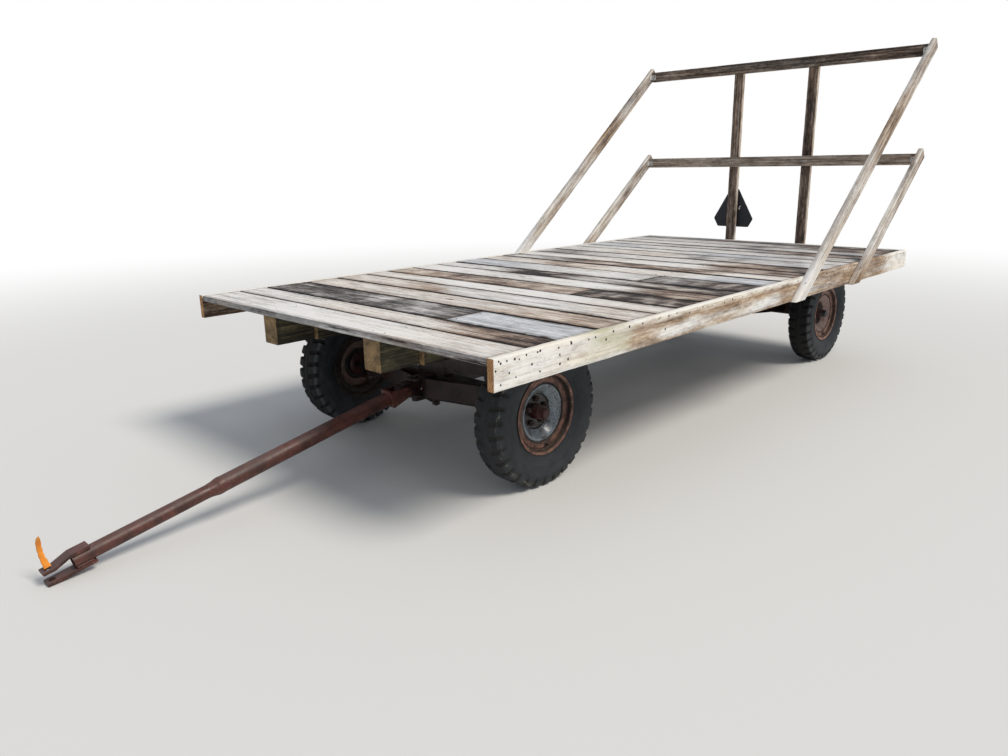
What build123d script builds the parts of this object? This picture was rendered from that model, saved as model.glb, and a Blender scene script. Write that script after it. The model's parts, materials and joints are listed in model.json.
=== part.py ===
from build123d import *
from itertools import cycle
from math import asin, atan2, cos, hypot, pi, radians, sin, tan
import os

# Flat hay wagon: a plank deck with a hay rack, on a steel running gear with steered front wheels.
# Frame: +Z up, front (tongue) toward -Y, the wagon's left side toward +X, ground at Z = 0.
# The origin lies on the ground under the centre of the whole wagon, tongue included.

os.makedirs("parts", exist_ok=True)

SIDES = (("left", 1), ("right", -1))

# Lumber sections, in millimetres
LUMBER_THICK = 38.0        # every board is this thick
BRACE_WIDE = 89.0          # posts, rack rails and braces
SIDE_RAIL_TALL = 140.0     # side rails and rear board
TIMBER_WIDE = 127.0        # long timbers under the deck
TIMBER_TALL = 152.0

# Deck
DECK_LONG = 4877.0
DECK_WIDE = 2514.0         # over both side rails
DECK_TOP = 895.0           # height of the walking surface
PLANK_GAP = 6.0
BOARD_ROUND = 3.0          # worn edge
TIMBER_OUT = 453.0         # centre of each long timber from the middle
TIMBER_SETBACK = 8.0       # timber ends behind the deck's front edge
SISTER_SETBACK = 238.0     # where the doubling boards start behind the front edge

# Hay rack at the rear
RACK_TALL = 1580.0         # top of the top rail above the deck
RACK_MID = 765.0           # top of the middle rail above the deck
POST_OUT = 345.0           # centre of each post from the middle
BRACE_MEET = 8.0           # behind the rear edge, a brace's centre line is as high as its rail's top
BRACE_PROUD = 40.0         # how far a brace's end rises above its rail

# Braces on each side: name, top of the rail that it holds, lean above level in degrees
BRACES = (("tall", RACK_TALL, 39.0), ("short", RACK_MID, 37.5))

# Blank sign with three cut corners, on the post at the wagon's right
SIGN_WIDE = 406.0
SIGN_CUT = 46.0
SIGN_LOW = 120.0           # lower edge above the deck
SIGN_THICK = 2.0
SIGN_STANDOFF = 10.0
SIGN_BLOCK_WIDE = 40.0     # block between the post and the plate
SIGN_BLOCK_TALL = 140.0
SIGN_BLOCK_LOW = 60.0      # above the plate's lower edge

# Running gear
AXLE_HEIGHT = 390.0        # wheel centres above the ground, and the tyres' radius
FRONT_AXLE = -1650.0       # from the deck's middle
REAR_AXLE = 1900.0
BEAM_TALL = 110.0
BEAM_DEEP = 90.0
BEAM_ROUND = 8.0
BEAM_RISE = 22.0           # centre of the beam above the wheel centres
SADDLE_WIDE = 220.0        # block between the beam and the bolster
BOLSTER_TALL = 178.0
BOLSTER_DEEP = 102.0
STAKE_THICK = 12.0         # stakes hold the long timbers on the bolsters
STAKE_TALL = 110.0
STAKE_DEEP = 76.0
REACH_SIZE = 76.0          # square tube that joins the two axles
REACH_WALL = 6.0
REAR_HOUND_OUT = 500.0     # where the rear V bars meet the axle
REAR_HOUND_AHEAD = 900.0   # where they meet the tube, ahead of the rear axle
REAR_HOUND_WIDE = 40.0
REAR_HOUND_TALL = 60.0
KINGPIN_OUT = 640.0        # steering pin from the middle
KINGPIN = 14.0             # radius
WHEEL_OUT = 783.0          # middle plane of each tyre from the middle

# Steering
CRANK_AHEAD = 160.0        # crank pin ahead of the front axle
HINGE_AHEAD = 100.0        # tongue hinge ahead of the crank pin
HINGE_HEIGHT = 405.0
STEER_ARM = 150.0          # crank tail and both knuckle arms
PIN_GAP = 0.5              # radial clearance of a pin in its hole
OVERCUT = 1.0              # a hole's cutter runs this far past both faces

# Tongue
TONGUE_LONG = 1810.0       # hinge to the open end of the front pipe
TONGUE_COLLAR = 105.0      # hinge to the rear pipe
TONGUE_STEP = 1140.0       # hinge to the step between the pipes
REAR_PIPE = 40.0           # radius
FRONT_PIPE = 32.0          # radius
PIPE_WALL = 6.0
STRAP_THICK = 12.0
STRAP_WIDE = 60.0
STRAP_AHEAD = 118.0        # straps reach this far past the pipe
STRAP_BACK = 76.0          # and this far back along its top
LOW_STRAP_BACK = 84.0      # and under it
STRAP_FLAT = 48.0          # level end of the upper strap
HITCH_HOLE = 13.5          # radius of the hitch pin hole
HITCH_BACK = 26.0          # hole centre behind the straps' ends
HITCH_GAP = 42.0           # between the straps' ends

HALF_WIDE = DECK_WIDE / 2
HALF_LONG = DECK_LONG / 2
INNER = HALF_WIDE - LUMBER_THICK       # inner face of a side rail
DECK_UNDER = DECK_TOP - LUMBER_THICK
RAIL_UNDER = DECK_TOP - SIDE_RAIL_TALL
TIMBER_UNDER = DECK_UNDER - TIMBER_TALL
BOLSTER_UNDER = TIMBER_UNDER - BOLSTER_TALL
BEAM_Z = AXLE_HEIGHT + BEAM_RISE
BEAM_TOP = BEAM_Z + BEAM_TALL / 2
BEAM_UNDER = BEAM_Z - BEAM_TALL / 2

# The tongue drops until its lower strap meets the ground
STRAP_UNDER = FRONT_PIPE + STRAP_THICK
TONGUE_TIP = TONGUE_LONG + STRAP_AHEAD
TONGUE_DROP = asin(HINGE_HEIGHT / hypot(TONGUE_TIP, STRAP_UNDER)) - atan2(STRAP_UNDER, TONGUE_TIP)
UPPER_STRAP = HITCH_GAP - FRONT_PIPE   # underside of the upper strap's end above the tongue's centre line


def brace_reach(lean):
    """How far behind the deck's rear edge the square-cut end of a brace comes."""
    return BRACE_MEET + BRACE_PROUD / tan(lean) + BRACE_WIDE * (sin(lean) - 0.5 / sin(lean))


# The origin lies midway between the upper strap's end and what stands furthest back
FRONT_END = FRONT_AXLE - CRANK_AHEAD - HINGE_AHEAD - TONGUE_TIP * cos(TONGUE_DROP)
FRONT_END -= (UPPER_STRAP + STRAP_THICK) * sin(TONGUE_DROP)
REAR_END = HALF_LONG + max(LUMBER_THICK + SIGN_STANDOFF + SIGN_THICK,
                           *(brace_reach(radians(lean)) for name, rail_top, lean in BRACES))
DECK_Y = -(FRONT_END + REAR_END) / 2

FRONT_AXLE_Y = DECK_Y + FRONT_AXLE
REAR_AXLE_Y = DECK_Y + REAR_AXLE
FRONT_EDGE = DECK_Y - HALF_LONG
REAR_EDGE = DECK_Y + HALF_LONG
CRANK_Y = FRONT_AXLE_Y - CRANK_AHEAD
HINGE_Y = CRANK_Y - HINGE_AHEAD


def keep(part, name):
    """Label a finished piece and write it to its own file."""
    part.label = name
    export_step(part, f"parts/{name}.step")


def block(x0, x1, y0, y1, z0, z1):
    """A box between two corners, for use inside a part."""
    with Locations(((x0 + x1) / 2, (y0 + y1) / 2, (z0 + z1) / 2)):
        Box(abs(x1 - x0), abs(y1 - y0), abs(z1 - z0))


# Deck planks: nominal size in inches and the width it is sawn to; their order from the front, repeated
PLANK_WIDTHS = {8: 184.0, 10: 235.0, 12: 286.0}
PLANK_ORDER = (10, 8, 12, 10, 10, 8, 10, 10, 8, 12, 10, 8, 10, 10, 12, 8, 10, 8, 10, 10, 10)
# Planks made of two lengths: number from the front, x of the joint, which lies over the left timber
PLANK_JOINTS = {2: 478.0, 6: 492.0, 9: 498.0}
JOINT_GAP = 3.0


def plank_spans():
    """Front and rear edge of each plank; the last one is ripped to what is left."""
    spans = []
    front = FRONT_EDGE
    last = REAR_EDGE - LUMBER_THICK - PLANK_GAP / 2
    narrowest = min(PLANK_WIDTHS.values())
    for nominal in cycle(PLANK_ORDER):
        back = front + PLANK_WIDTHS[nominal]
        if last - back < narrowest / 2:
            spans.append((front, last))
            return spans
        spans.append((front, back))
        front = back + PLANK_GAP


def make_deck():
    """Planks across the wagon between the side rails."""
    with BuildPart() as deck:
        for number, (front, back) in enumerate(plank_spans()):
            joint = PLANK_JOINTS.get(number)
            if joint is None:
                pieces = [(-INNER, INNER)]
            else:
                pieces = [(-INNER, joint - JOINT_GAP / 2), (joint + JOINT_GAP / 2, INNER)]
            for x0, x1 in pieces:
                block(x0, x1, front, back, DECK_UNDER, DECK_TOP)
        chamfer(deck.edges().filter_by(Axis.X).group_by(Axis.Z)[-1], BOARD_ROUND)
    keep(deck.part, "deck_planks")


def make_deck_frame():
    """Side rails, rear board, and the long timbers with a doubling board on the left face of each."""
    for side, s in SIDES:
        with BuildPart() as rail:
            block(s * INNER, s * HALF_WIDE, FRONT_EDGE, REAR_EDGE, RAIL_UNDER, DECK_TOP)
            chamfer(rail.edges().filter_by(Axis.Y), BOARD_ROUND)
        keep(rail.part, f"side_rail_{side}")

        left_face = s * TIMBER_OUT + TIMBER_WIDE / 2
        with BuildPart() as timber:
            block(left_face - TIMBER_WIDE, left_face, FRONT_EDGE + TIMBER_SETBACK,
                  REAR_EDGE - LUMBER_THICK, TIMBER_UNDER, DECK_UNDER)
            chamfer(timber.edges().filter_by(Axis.Y), BOARD_ROUND)
        keep(timber.part, f"timber_{side}")

        with BuildPart() as sister:
            block(left_face, left_face + LUMBER_THICK, FRONT_EDGE + SISTER_SETBACK,
                  REAR_EDGE - LUMBER_THICK, TIMBER_UNDER, DECK_UNDER)
        keep(sister.part, f"doubling_board_{side}")

    with BuildPart() as board:
        block(-INNER, INNER, REAR_EDGE - LUMBER_THICK, REAR_EDGE, RAIL_UNDER, DECK_TOP)
        chamfer(board.edges().filter_by(Axis.X), BOARD_ROUND)
    keep(board.part, "rear_board")


def make_brace(name, s, rail_top, lean):
    """A leaning board on the outer face of a side rail, cut level at its foot and square at its end."""
    run = BRACE_WIDE / sin(lean)               # level width of the leaning board
    meet_y = REAR_EDGE + BRACE_MEET
    foot_y = meet_y - (rail_top + SIDE_RAIL_TALL) / tan(lean)
    top_y = meet_y + BRACE_PROUD / tan(lean) - run / 2
    top_z = DECK_TOP + rail_top + BRACE_PROUD
    with BuildPart() as brace:
        with BuildSketch(Plane.YZ.offset(s * HALF_WIDE)):
            with BuildLine():
                Polyline((foot_y - run / 2, RAIL_UNDER), (foot_y + run / 2, RAIL_UNDER),
                         (top_y + BRACE_WIDE * sin(lean), top_z - BRACE_WIDE * cos(lean)),
                         (top_y, top_z), close=True)
            make_face()
        extrude(amount=s * LUMBER_THICK)
    keep(brace.part, name)


def make_rack():
    """Two posts behind the rear board, two rails on their front faces, and four braces."""
    for side, s in SIDES:
        with BuildPart() as post:
            x = s * POST_OUT
            block(x - BRACE_WIDE / 2, x + BRACE_WIDE / 2, REAR_EDGE, REAR_EDGE + LUMBER_THICK,
                  RAIL_UNDER, DECK_TOP + RACK_TALL)
            chamfer(post.edges().filter_by(Axis.Z), BOARD_ROUND)
        keep(post.part, f"rack_post_{side}")
        for name, rail_top, lean in BRACES:
            make_brace(f"brace_{name}_{side}", s, rail_top, radians(lean))
    for name, top in (("rack_rail_top", RACK_TALL), ("rack_rail_middle", RACK_MID)):
        with BuildPart() as rail:
            block(-HALF_WIDE, HALF_WIDE, REAR_EDGE - LUMBER_THICK, REAR_EDGE,
                  DECK_TOP + top - BRACE_WIDE, DECK_TOP + top)
            chamfer(rail.edges().filter_by(Axis.X), BOARD_ROUND)
        keep(rail.part, name)


def make_sign():
    """A blank plate with three cut corners, on a small block on the right post's rear face."""
    low = DECK_TOP + SIGN_LOW
    tall = SIGN_WIDE * sin(pi / 3)
    back = REAR_EDGE + LUMBER_THICK
    half = ((SIGN_CUT / 2, low + tall), (SIGN_WIDE / 2, low + SIGN_CUT * sin(pi / 3)),
            ((SIGN_WIDE - SIGN_CUT) / 2, low))
    with BuildPart() as sign:
        with BuildSketch(Plane.XZ.offset(-back - SIGN_STANDOFF)):
            with BuildLine():
                Polyline(*((x - POST_OUT, z) for x, z in half),
                         *((-x - POST_OUT, z) for x, z in reversed(half)), close=True)
            make_face()
        extrude(amount=-SIGN_THICK)
        block(-POST_OUT - SIGN_BLOCK_WIDE / 2, -POST_OUT + SIGN_BLOCK_WIDE / 2, back, back + SIGN_STANDOFF,
              low + SIGN_BLOCK_LOW, low + SIGN_BLOCK_LOW + SIGN_BLOCK_TALL)
    keep(sign.part, "rear_sign")


# Axle beams: name, y of the axle, whether the wheels steer
AXLES = (("front", FRONT_AXLE_Y, True), ("rear", REAR_AXLE_Y, False))
BOSS = 32.0                # radius of the steering pin's boss
BOSS_TALL = 136.0
BOSS_BITE = 4.0            # how far the beam runs into the boss
SPINDLE = 20.0             # radius
HUB_INNER = 64.0           # hub's inner end from the tyre's middle plane
HUB_CLEAR = 6.0            # rear beam's end short of the hub
HUB_DEPTH = 18.0           # bottom of the hub's bore past the middle plane
SPINDLE_END = HUB_DEPTH - 4.0


def make_axle(name, y, steered):
    """A box beam under the bolster; pin bosses at its ends if the wheels steer, spindles if they don't."""
    end = KINGPIN_OUT - BOSS + BOSS_BITE if steered else WHEEL_OUT - HUB_INNER - HUB_CLEAR
    saddle = BEAM_DEEP / 2 - BEAM_ROUND
    with BuildPart() as axle:
        block(-end, end, y - BEAM_DEEP / 2, y + BEAM_DEEP / 2, BEAM_UNDER, BEAM_TOP)
        fillet(axle.edges().filter_by(Axis.X), BEAM_ROUND)
        block(-SADDLE_WIDE / 2, SADDLE_WIDE / 2, y - saddle, y + saddle, BEAM_TOP - BEAM_ROUND, BOLSTER_UNDER)
        for _, s in SIDES:
            if steered:
                with Locations((s * KINGPIN_OUT, y, BEAM_Z)):
                    Cylinder(BOSS, BOSS_TALL)
                    Cylinder(KINGPIN + PIN_GAP, BOSS_TALL + 2 * OVERCUT, mode=Mode.SUBTRACT)
            else:
                with BuildSketch(Plane.YZ.offset(s * end)):
                    with Locations((y, AXLE_HEIGHT)):
                        Circle(SPINDLE)
                extrude(amount=s * (WHEEL_OUT + SPINDLE_END - end))
    keep(axle.part, f"{name}_axle")


def make_bolster(name, y):
    """A cross beam under the long timbers, with a stake outside each of them."""
    left_end = TIMBER_OUT + TIMBER_WIDE / 2 + LUMBER_THICK     # outside the left doubling board
    right_end = -TIMBER_OUT - TIMBER_WIDE / 2
    with BuildPart() as bolster:
        block(-left_end - STAKE_THICK, left_end + STAKE_THICK, y - BOLSTER_DEEP / 2, y + BOLSTER_DEEP / 2,
              BOLSTER_UNDER, TIMBER_UNDER)
    keep(bolster.part, f"{name}_bolster")
    with BuildPart() as stakes:
        for x0, x1 in ((left_end, left_end + STAKE_THICK), (right_end - STAKE_THICK, right_end)):
            block(x0, x1, y - STAKE_DEEP / 2, y + STAKE_DEEP / 2, TIMBER_UNDER, TIMBER_UNDER + STAKE_TALL)
    keep(stakes.part, f"{name}_stakes")


CRANK_PIN = 16.0           # radius
NOSE_RADIUS = 46.0
NOSE_PLATE = 12.0
HOUND_OUT = 420.0          # where the hounds meet the axle
HOUND_FOOT = 44.0          # their width there
HOUND_IN = 40.0            # inner edge at the nose, clear of the crank's swinging lug
HOUND_TIP = 36.0           # their width there
HOUND_BACK = 14.0          # they stop this far behind the crank's pin


def make_hounds():
    """A tall V of plate ahead of the front axle; its nose plates carry the crank's upright pin."""
    front = FRONT_AXLE_Y - BEAM_DEEP / 2
    tip = CRANK_Y + HOUND_BACK
    with BuildPart() as hounds:
        with BuildSketch(Plane.XY.offset(BEAM_UNDER)):
            for _, s in SIDES:
                with BuildLine():
                    Polyline((s * HOUND_OUT, front), (s * (HOUND_OUT + HOUND_FOOT), front),
                             (s * (HOUND_IN + HOUND_TIP), tip), (s * HOUND_IN, tip), close=True)
                make_face()
        extrude(amount=BEAM_TALL)
        for z in (BEAM_UNDER, BEAM_TOP - NOSE_PLATE):
            with BuildSketch(Plane.XY.offset(z)):
                with Locations((0, CRANK_Y)):
                    Circle(NOSE_RADIUS)
                with Locations((0, (CRANK_Y + front) / 2)):
                    Rectangle(2 * NOSE_RADIUS, front - CRANK_Y)
                with Locations((0, CRANK_Y)):
                    Circle(CRANK_PIN + PIN_GAP, mode=Mode.SUBTRACT)
            extrude(amount=NOSE_PLATE)
    keep(hounds.part, "front_hounds")


def make_reach():
    """The square tube between the axles, and the rear V bars that steady it."""
    rear = REAR_AXLE_Y - BEAM_DEEP / 2
    front = FRONT_AXLE_Y + BEAM_DEEP / 2
    with BuildPart() as reach:
        with BuildSketch(Plane.XZ.offset(-front)):
            with Locations((0, BEAM_Z)):
                Rectangle(REACH_SIZE, REACH_SIZE)
                Rectangle(REACH_SIZE - 2 * REACH_WALL, REACH_SIZE - 2 * REACH_WALL, mode=Mode.SUBTRACT)
        extrude(amount=front - rear)
    keep(reach.part, "reach_tube")
    tube = REACH_SIZE / 2
    ahead = rear - REAR_HOUND_AHEAD
    with BuildPart() as hounds:
        with BuildSketch(Plane.XY.offset(BEAM_Z - REAR_HOUND_TALL / 2)):
            for _, s in SIDES:
                with BuildLine():
                    Polyline((s * (REAR_HOUND_OUT - REAR_HOUND_WIDE / 2), rear),
                             (s * (REAR_HOUND_OUT + REAR_HOUND_WIDE / 2), rear),
                             (s * (tube + REAR_HOUND_WIDE / 3), ahead), (s * tube, ahead),
                             (s * tube, ahead + REAR_HOUND_WIDE), close=True)
                make_face()
        extrude(amount=REAR_HOUND_TALL)
    keep(hounds.part, "rear_hounds")


LEVER_THICK = 16.0
LEVER_TOP = BEAM_UNDER - 11.0
ROD_RADIUS = 11.0
EYE_RADIUS = 24.0
EYE_THICK = 16.0
EYE_PIN = 10.0
EYE_SLACK = 2.0            # radial play of a tie rod's outer eye
EYE_BITE = 4.0             # how far a rod runs into its eyes
EYE_CLEAR = 6.0            # between the knuckle's lower ear and the upper rod
ROD_STEP = 24.0            # the two rods share the crank's pin, one under the other
PIN_PROUD = 8.0            # pin ends past what they hold
EAR_GAP = 5.0              # between the axle's boss and the knuckle's ears
EAR_THICK = 20.0
EAR_LOW = BEAM_Z - BOSS_TALL / 2 - EAR_GAP - EAR_THICK
ROD_TOP = EAR_LOW - EYE_CLEAR
PIN_LOW = ROD_TOP - ROD_STEP - EYE_THICK - PIN_PROUD
LUG_HALF = 30.0            # half width of the crank's lug
NOSE_GAP = 3.0             # between the lug and the nose plates
HINGE_PIN = 12.0
YOKE_GAP = 6.0
YOKE_PLATE = 12.0


def make_crank():
    """Upright pin and barrel, a lug ahead for the tongue, and a tail below that pulls both tie rods."""
    low = BEAM_UNDER + NOSE_PLATE + NOSE_GAP
    high = BEAM_TOP - NOSE_PLATE - NOSE_GAP
    lever_under = LEVER_TOP - LEVER_THICK
    with BuildPart() as crank:
        with BuildSketch(Plane.XY.offset(low)):
            with Locations((0, CRANK_Y)):
                Circle(LUG_HALF)
            with Locations((0, (CRANK_Y + HINGE_Y) / 2)):
                Rectangle(2 * LUG_HALF, HINGE_AHEAD)
        extrude(amount=high - low)
        with BuildSketch(Plane.YZ.offset(-LUG_HALF)):
            with Locations((HINGE_Y, HINGE_HEIGHT)):
                Circle((high - low) / 2)
        extrude(amount=2 * LUG_HALF)
        with BuildSketch(Plane.YZ.offset(-LUG_HALF)):
            with Locations((HINGE_Y, HINGE_HEIGHT)):
                Circle(HINGE_PIN + PIN_GAP)
        extrude(amount=2 * LUG_HALF, mode=Mode.SUBTRACT)
        with BuildSketch(Plane.XY.offset(lever_under)):
            with Locations((0, CRANK_Y)):
                Circle(CRANK_PIN)
        extrude(amount=BEAM_TOP + PIN_PROUD - lever_under)
        with BuildSketch(Plane.XY.offset(lever_under)):
            with Locations((0, CRANK_Y), (0, CRANK_Y + STEER_ARM)):
                Circle(EYE_RADIUS)
            with Locations((0, CRANK_Y + STEER_ARM / 2)):
                Rectangle(2 * EYE_RADIUS, STEER_ARM)
        extrude(amount=LEVER_THICK)
        with BuildSketch(Plane.XY.offset(PIN_LOW)):
            with Locations((0, CRANK_Y + STEER_ARM)):
                Circle(EYE_PIN)
        extrude(amount=LEVER_TOP - PIN_LOW)
    keep(crank.part, "steering_crank")


def make_tie_rods():
    """A rod with an eye at each end, from the crank's tail to each knuckle arm."""
    for (side, s), drop in zip(SIDES, (0.0, ROD_STEP)):
        start = Vector(0, CRANK_Y + STEER_ARM, ROD_TOP - drop - EYE_THICK / 2)
        end = Vector(s * KINGPIN_OUT, FRONT_AXLE_Y + STEER_ARM, start.Z)
        along = (end - start).normalized()
        gap = EYE_RADIUS - EYE_BITE
        with BuildPart() as rod:
            with BuildSketch(Plane(start + along * gap, z_dir=along)):
                Circle(ROD_RADIUS)
            extrude(amount=(end - start).length - 2 * gap)
            with Locations(start, end):
                Cylinder(EYE_RADIUS, EYE_THICK)
            with Locations(start):
                Cylinder(EYE_PIN + PIN_GAP, EYE_THICK + 2 * OVERCUT, mode=Mode.SUBTRACT)
            with Locations(end):
                Cylinder(EYE_PIN + EYE_SLACK, EYE_THICK + 2 * OVERCUT, mode=Mode.SUBTRACT)
        keep(rod.part, f"tie_rod_{side}")


WEB_IN = 44.0              # knuckle's web from the steering pin
WEB_THICK = 20.0


def make_knuckles():
    """A C-shaped forging round the axle's boss, with the wheel spindle outside and a steering arm behind."""
    ear_top = BEAM_Z + BOSS_TALL / 2 + EAR_GAP
    for side, s in SIDES:
        pin_x = s * KINGPIN_OUT
        web_x = s * (KINGPIN_OUT + WEB_IN)
        with BuildPart() as knuckle:
            for z in (EAR_LOW, ear_top):
                with BuildSketch(Plane.XY.offset(z)):
                    with Locations((pin_x, FRONT_AXLE_Y)):
                        Circle(BOSS)
                    with Locations((s * (KINGPIN_OUT + (WEB_IN + WEB_THICK) / 2), FRONT_AXLE_Y)):
                        Rectangle(WEB_IN + WEB_THICK, 2 * BOSS)
                extrude(amount=EAR_THICK)
            block(web_x, web_x + s * WEB_THICK, FRONT_AXLE_Y - BOSS, FRONT_AXLE_Y + BOSS,
                  EAR_LOW, ear_top + EAR_THICK)
            with Locations((pin_x, FRONT_AXLE_Y, BEAM_Z)):
                Cylinder(KINGPIN, BOSS_TALL + 2 * (EAR_GAP + EAR_THICK))
            with BuildSketch(Plane.YZ.offset(web_x)):
                with Locations((FRONT_AXLE_Y, AXLE_HEIGHT)):
                    Circle(SPINDLE)
            extrude(amount=s * (WHEEL_OUT + SPINDLE_END) - web_x)
            with BuildSketch(Plane.XY.offset(EAR_LOW)):
                with Locations((pin_x, FRONT_AXLE_Y + STEER_ARM / 2)):
                    Rectangle(2 * EYE_RADIUS, STEER_ARM)
                with Locations((pin_x, FRONT_AXLE_Y + STEER_ARM)):
                    Circle(EYE_RADIUS)
            extrude(amount=EAR_THICK)
            with BuildSketch(Plane.XY.offset(PIN_LOW)):
                with Locations((pin_x, FRONT_AXLE_Y + STEER_ARM)):
                    Circle(EYE_PIN)
            extrude(amount=EAR_LOW + OVERCUT - PIN_LOW)
        keep(knuckle.part, f"knuckle_{side}")


def tongue_plane():
    """Side view of the tongue: local X runs forward along it from the hinge, local Y stands up from it."""
    c = cos(TONGUE_DROP)
    s = sin(TONGUE_DROP)
    return Plane(origin=(0, HINGE_Y, HINGE_HEIGHT), x_dir=(0, -c, -s), z_dir=(-1, 0, 0))


YOKE_ROUND = 32.0
YOKE_TALL = 96.0
# Pipes of the tongue: name, outer radius, where it starts and ends from the hinge
PIPES = (("tongue_rear_pipe", REAR_PIPE, TONGUE_COLLAR, TONGUE_STEP),
         ("tongue_front_pipe", FRONT_PIPE, TONGUE_STEP, TONGUE_LONG))


def make_tongue():
    """Yoke on the hinge pin, rear pipe, thinner front pipe, and two straps that hold the hitch pin."""
    side_view = tongue_plane()
    inner = LUG_HALF + YOKE_GAP
    outer = inner + YOKE_PLATE
    with BuildPart() as yoke:
        for x in (-outer, inner):
            with BuildSketch(side_view.offset(x)):
                Circle(YOKE_ROUND)
                with BuildLine():
                    Polyline((0, YOKE_ROUND), (TONGUE_COLLAR, YOKE_TALL / 2),
                             (TONGUE_COLLAR, -YOKE_TALL / 2), (0, -YOKE_ROUND), close=True)
                make_face()
            extrude(amount=YOKE_PLATE)
        with BuildSketch(side_view.offset(-outer)):
            with Locations((TONGUE_COLLAR - YOKE_PLATE / 2, 0)):
                Rectangle(YOKE_PLATE, YOKE_TALL)
        extrude(amount=2 * outer)
        with BuildSketch(side_view.offset(-outer - PIN_PROUD)):
            Circle(HINGE_PIN)
        extrude(amount=2 * (outer + PIN_PROUD))
    keep(yoke.part, "tongue_yoke")

    for name, radius, start, end in PIPES:
        with BuildPart() as pipe:
            with BuildSketch(side_view):
                with Locations(((start + end) / 2, radius - PIPE_WALL / 2)):
                    Rectangle(end - start, PIPE_WALL)
            revolve(axis=Axis(side_view.origin, side_view.x_dir))
        keep(pipe.part, name)

    hole = TONGUE_TIP - HITCH_BACK
    bend = TONGUE_TIP - STRAP_FLAT
    upper = ((TONGUE_LONG - STRAP_BACK, FRONT_PIPE), (TONGUE_LONG, FRONT_PIPE), (bend, UPPER_STRAP),
             (TONGUE_TIP, UPPER_STRAP), (TONGUE_TIP, UPPER_STRAP + STRAP_THICK),
             (bend + STRAP_THICK / 3, UPPER_STRAP + STRAP_THICK), (TONGUE_LONG, STRAP_UNDER),
             (TONGUE_LONG - STRAP_BACK, STRAP_UNDER))
    lower = ((TONGUE_LONG - LOW_STRAP_BACK, -STRAP_UNDER), (TONGUE_TIP, -STRAP_UNDER),
             (TONGUE_TIP, -FRONT_PIPE), (TONGUE_LONG - LOW_STRAP_BACK, -FRONT_PIPE))
    for name, outline in (("hitch_strap_upper", upper), ("hitch_strap_lower", lower)):
        with BuildPart() as strap:
            with BuildSketch(side_view.offset(-STRAP_WIDE / 2)):
                with BuildLine():
                    Polyline(*outline, close=True)
                make_face()
            extrude(amount=STRAP_WIDE)
            centre = side_view.from_local_coords(Vector(hole, 0, 0))
            with BuildSketch(Plane(centre, x_dir=side_view.x_dir, z_dir=side_view.y_dir)):
                Circle(HITCH_HOLE)
            extrude(amount=STRAP_UNDER + OVERCUT, both=True, mode=Mode.SUBTRACT)
        keep(strap.part, name)


# Tyre: a ring of flats whose shoulders are cut by deep grooves, which leave the lugs
LUG_COUNT = 32             # lugs on each shoulder, and flats round the tyre
TYRE_WIDE = 186.0
TREAD_WIDE = 168.0
BULGE_DEPTH = 72.0         # widest part of the sidewall below the tread
BEAD_HALF = 60.0           # a bead's outer edge from the middle plane
GROOVE_IN = 22.0           # inner end of a groove from the middle plane
GROOVE_WIDE = 30.0
GROOVE_DEPTH = 18.0        # at the inner end
GROOVE_FALL = 28.0         # how much deeper it is at the sidewall
GROOVE_SKEW = 12.0         # degrees from straight across

# Steel wheel
SHEET = 5.0
FLANGE_RADIUS = 219.0
SEAT_RADIUS = 203.0        # where the tyre's beads sit
WELL_RADIUS = 160.0        # drop centre
WELL_HALF = 38.0           # half its width
RIM_HALF = 71.0            # flange edge from the middle plane
SEAT_IN = 25.0             # inner edge of a bead's seat behind the flange edge
DISC_FRONT = 41.0          # disc's rounded shoulder from the middle plane
BOLT_FACE = -12.0          # disc's inner face, on the hub's flange
HUB_HOLE = 40.0
HUB_NOSE = 39.0
NOSE_END = 36.0            # outer end of the hub's nose past the middle plane
CAP_RADIUS = 29.0          # grease cap on the nose
HUB_END = 74.0             # outer end of the cap

# Sections of the turned pieces: distance outward from the middle plane, radius
RIM_HALF_SECTION = ((WELL_HALF, WELL_RADIUS), (RIM_HALF - SEAT_IN, SEAT_RADIUS),
                    (RIM_HALF - 9.0, SEAT_RADIUS), (RIM_HALF - 4.0, FLANGE_RADIUS),
                    (RIM_HALF, FLANGE_RADIUS), (RIM_HALF - 5.0, SEAT_RADIUS - SHEET),
                    (RIM_HALF - SEAT_IN + SHEET, SEAT_RADIUS - SHEET), (WELL_HALF + SHEET, WELL_RADIUS - SHEET))
RIM_SECTION = RIM_HALF_SECTION + tuple((-a, r) for a, r in reversed(RIM_HALF_SECTION))
# A flange that is welded inside the drop centre, a rounded shoulder and a cone down to the bolted middle
DISC_SECTION = ((DISC_FRONT - 29.0, WELL_RADIUS - 2.0), (DISC_FRONT - 9.0, WELL_RADIUS - 2.0),
                (DISC_FRONT, WELL_RADIUS - 12.0), (DISC_FRONT, WELL_RADIUS - 20.0), (6.0, 98.0),
                (BOLT_FACE + SHEET + 1.0, 90.0), (BOLT_FACE + SHEET + 1.0, HUB_HOLE),
                (BOLT_FACE, HUB_HOLE), (BOLT_FACE, 94.0), (2.0, 101.5),
                (DISC_FRONT - 6.0, WELL_RADIUS - 18.0), (DISC_FRONT - 6.0, WELL_RADIUS - 14.0),
                (DISC_FRONT - 13.0, WELL_RADIUS - 7.0), (DISC_FRONT - 29.0, WELL_RADIUS - 7.0))
HUB_SECTION = ((-HUB_INNER, 44.0), (-30.0, 44.0), (BOLT_FACE - 10.0, 72.0), (BOLT_FACE, 72.0),
               (BOLT_FACE, HUB_NOSE), (NOSE_END, HUB_NOSE), (NOSE_END + 4.0, CAP_RADIUS),
               (HUB_END - 8.0, CAP_RADIUS), (HUB_END, CAP_RADIUS - 8.0), (HUB_END, 0.0),
               (HUB_DEPTH, 0.0), (HUB_DEPTH, SPINDLE + PIN_GAP), (-HUB_INNER, SPINDLE + PIN_GAP))


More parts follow.
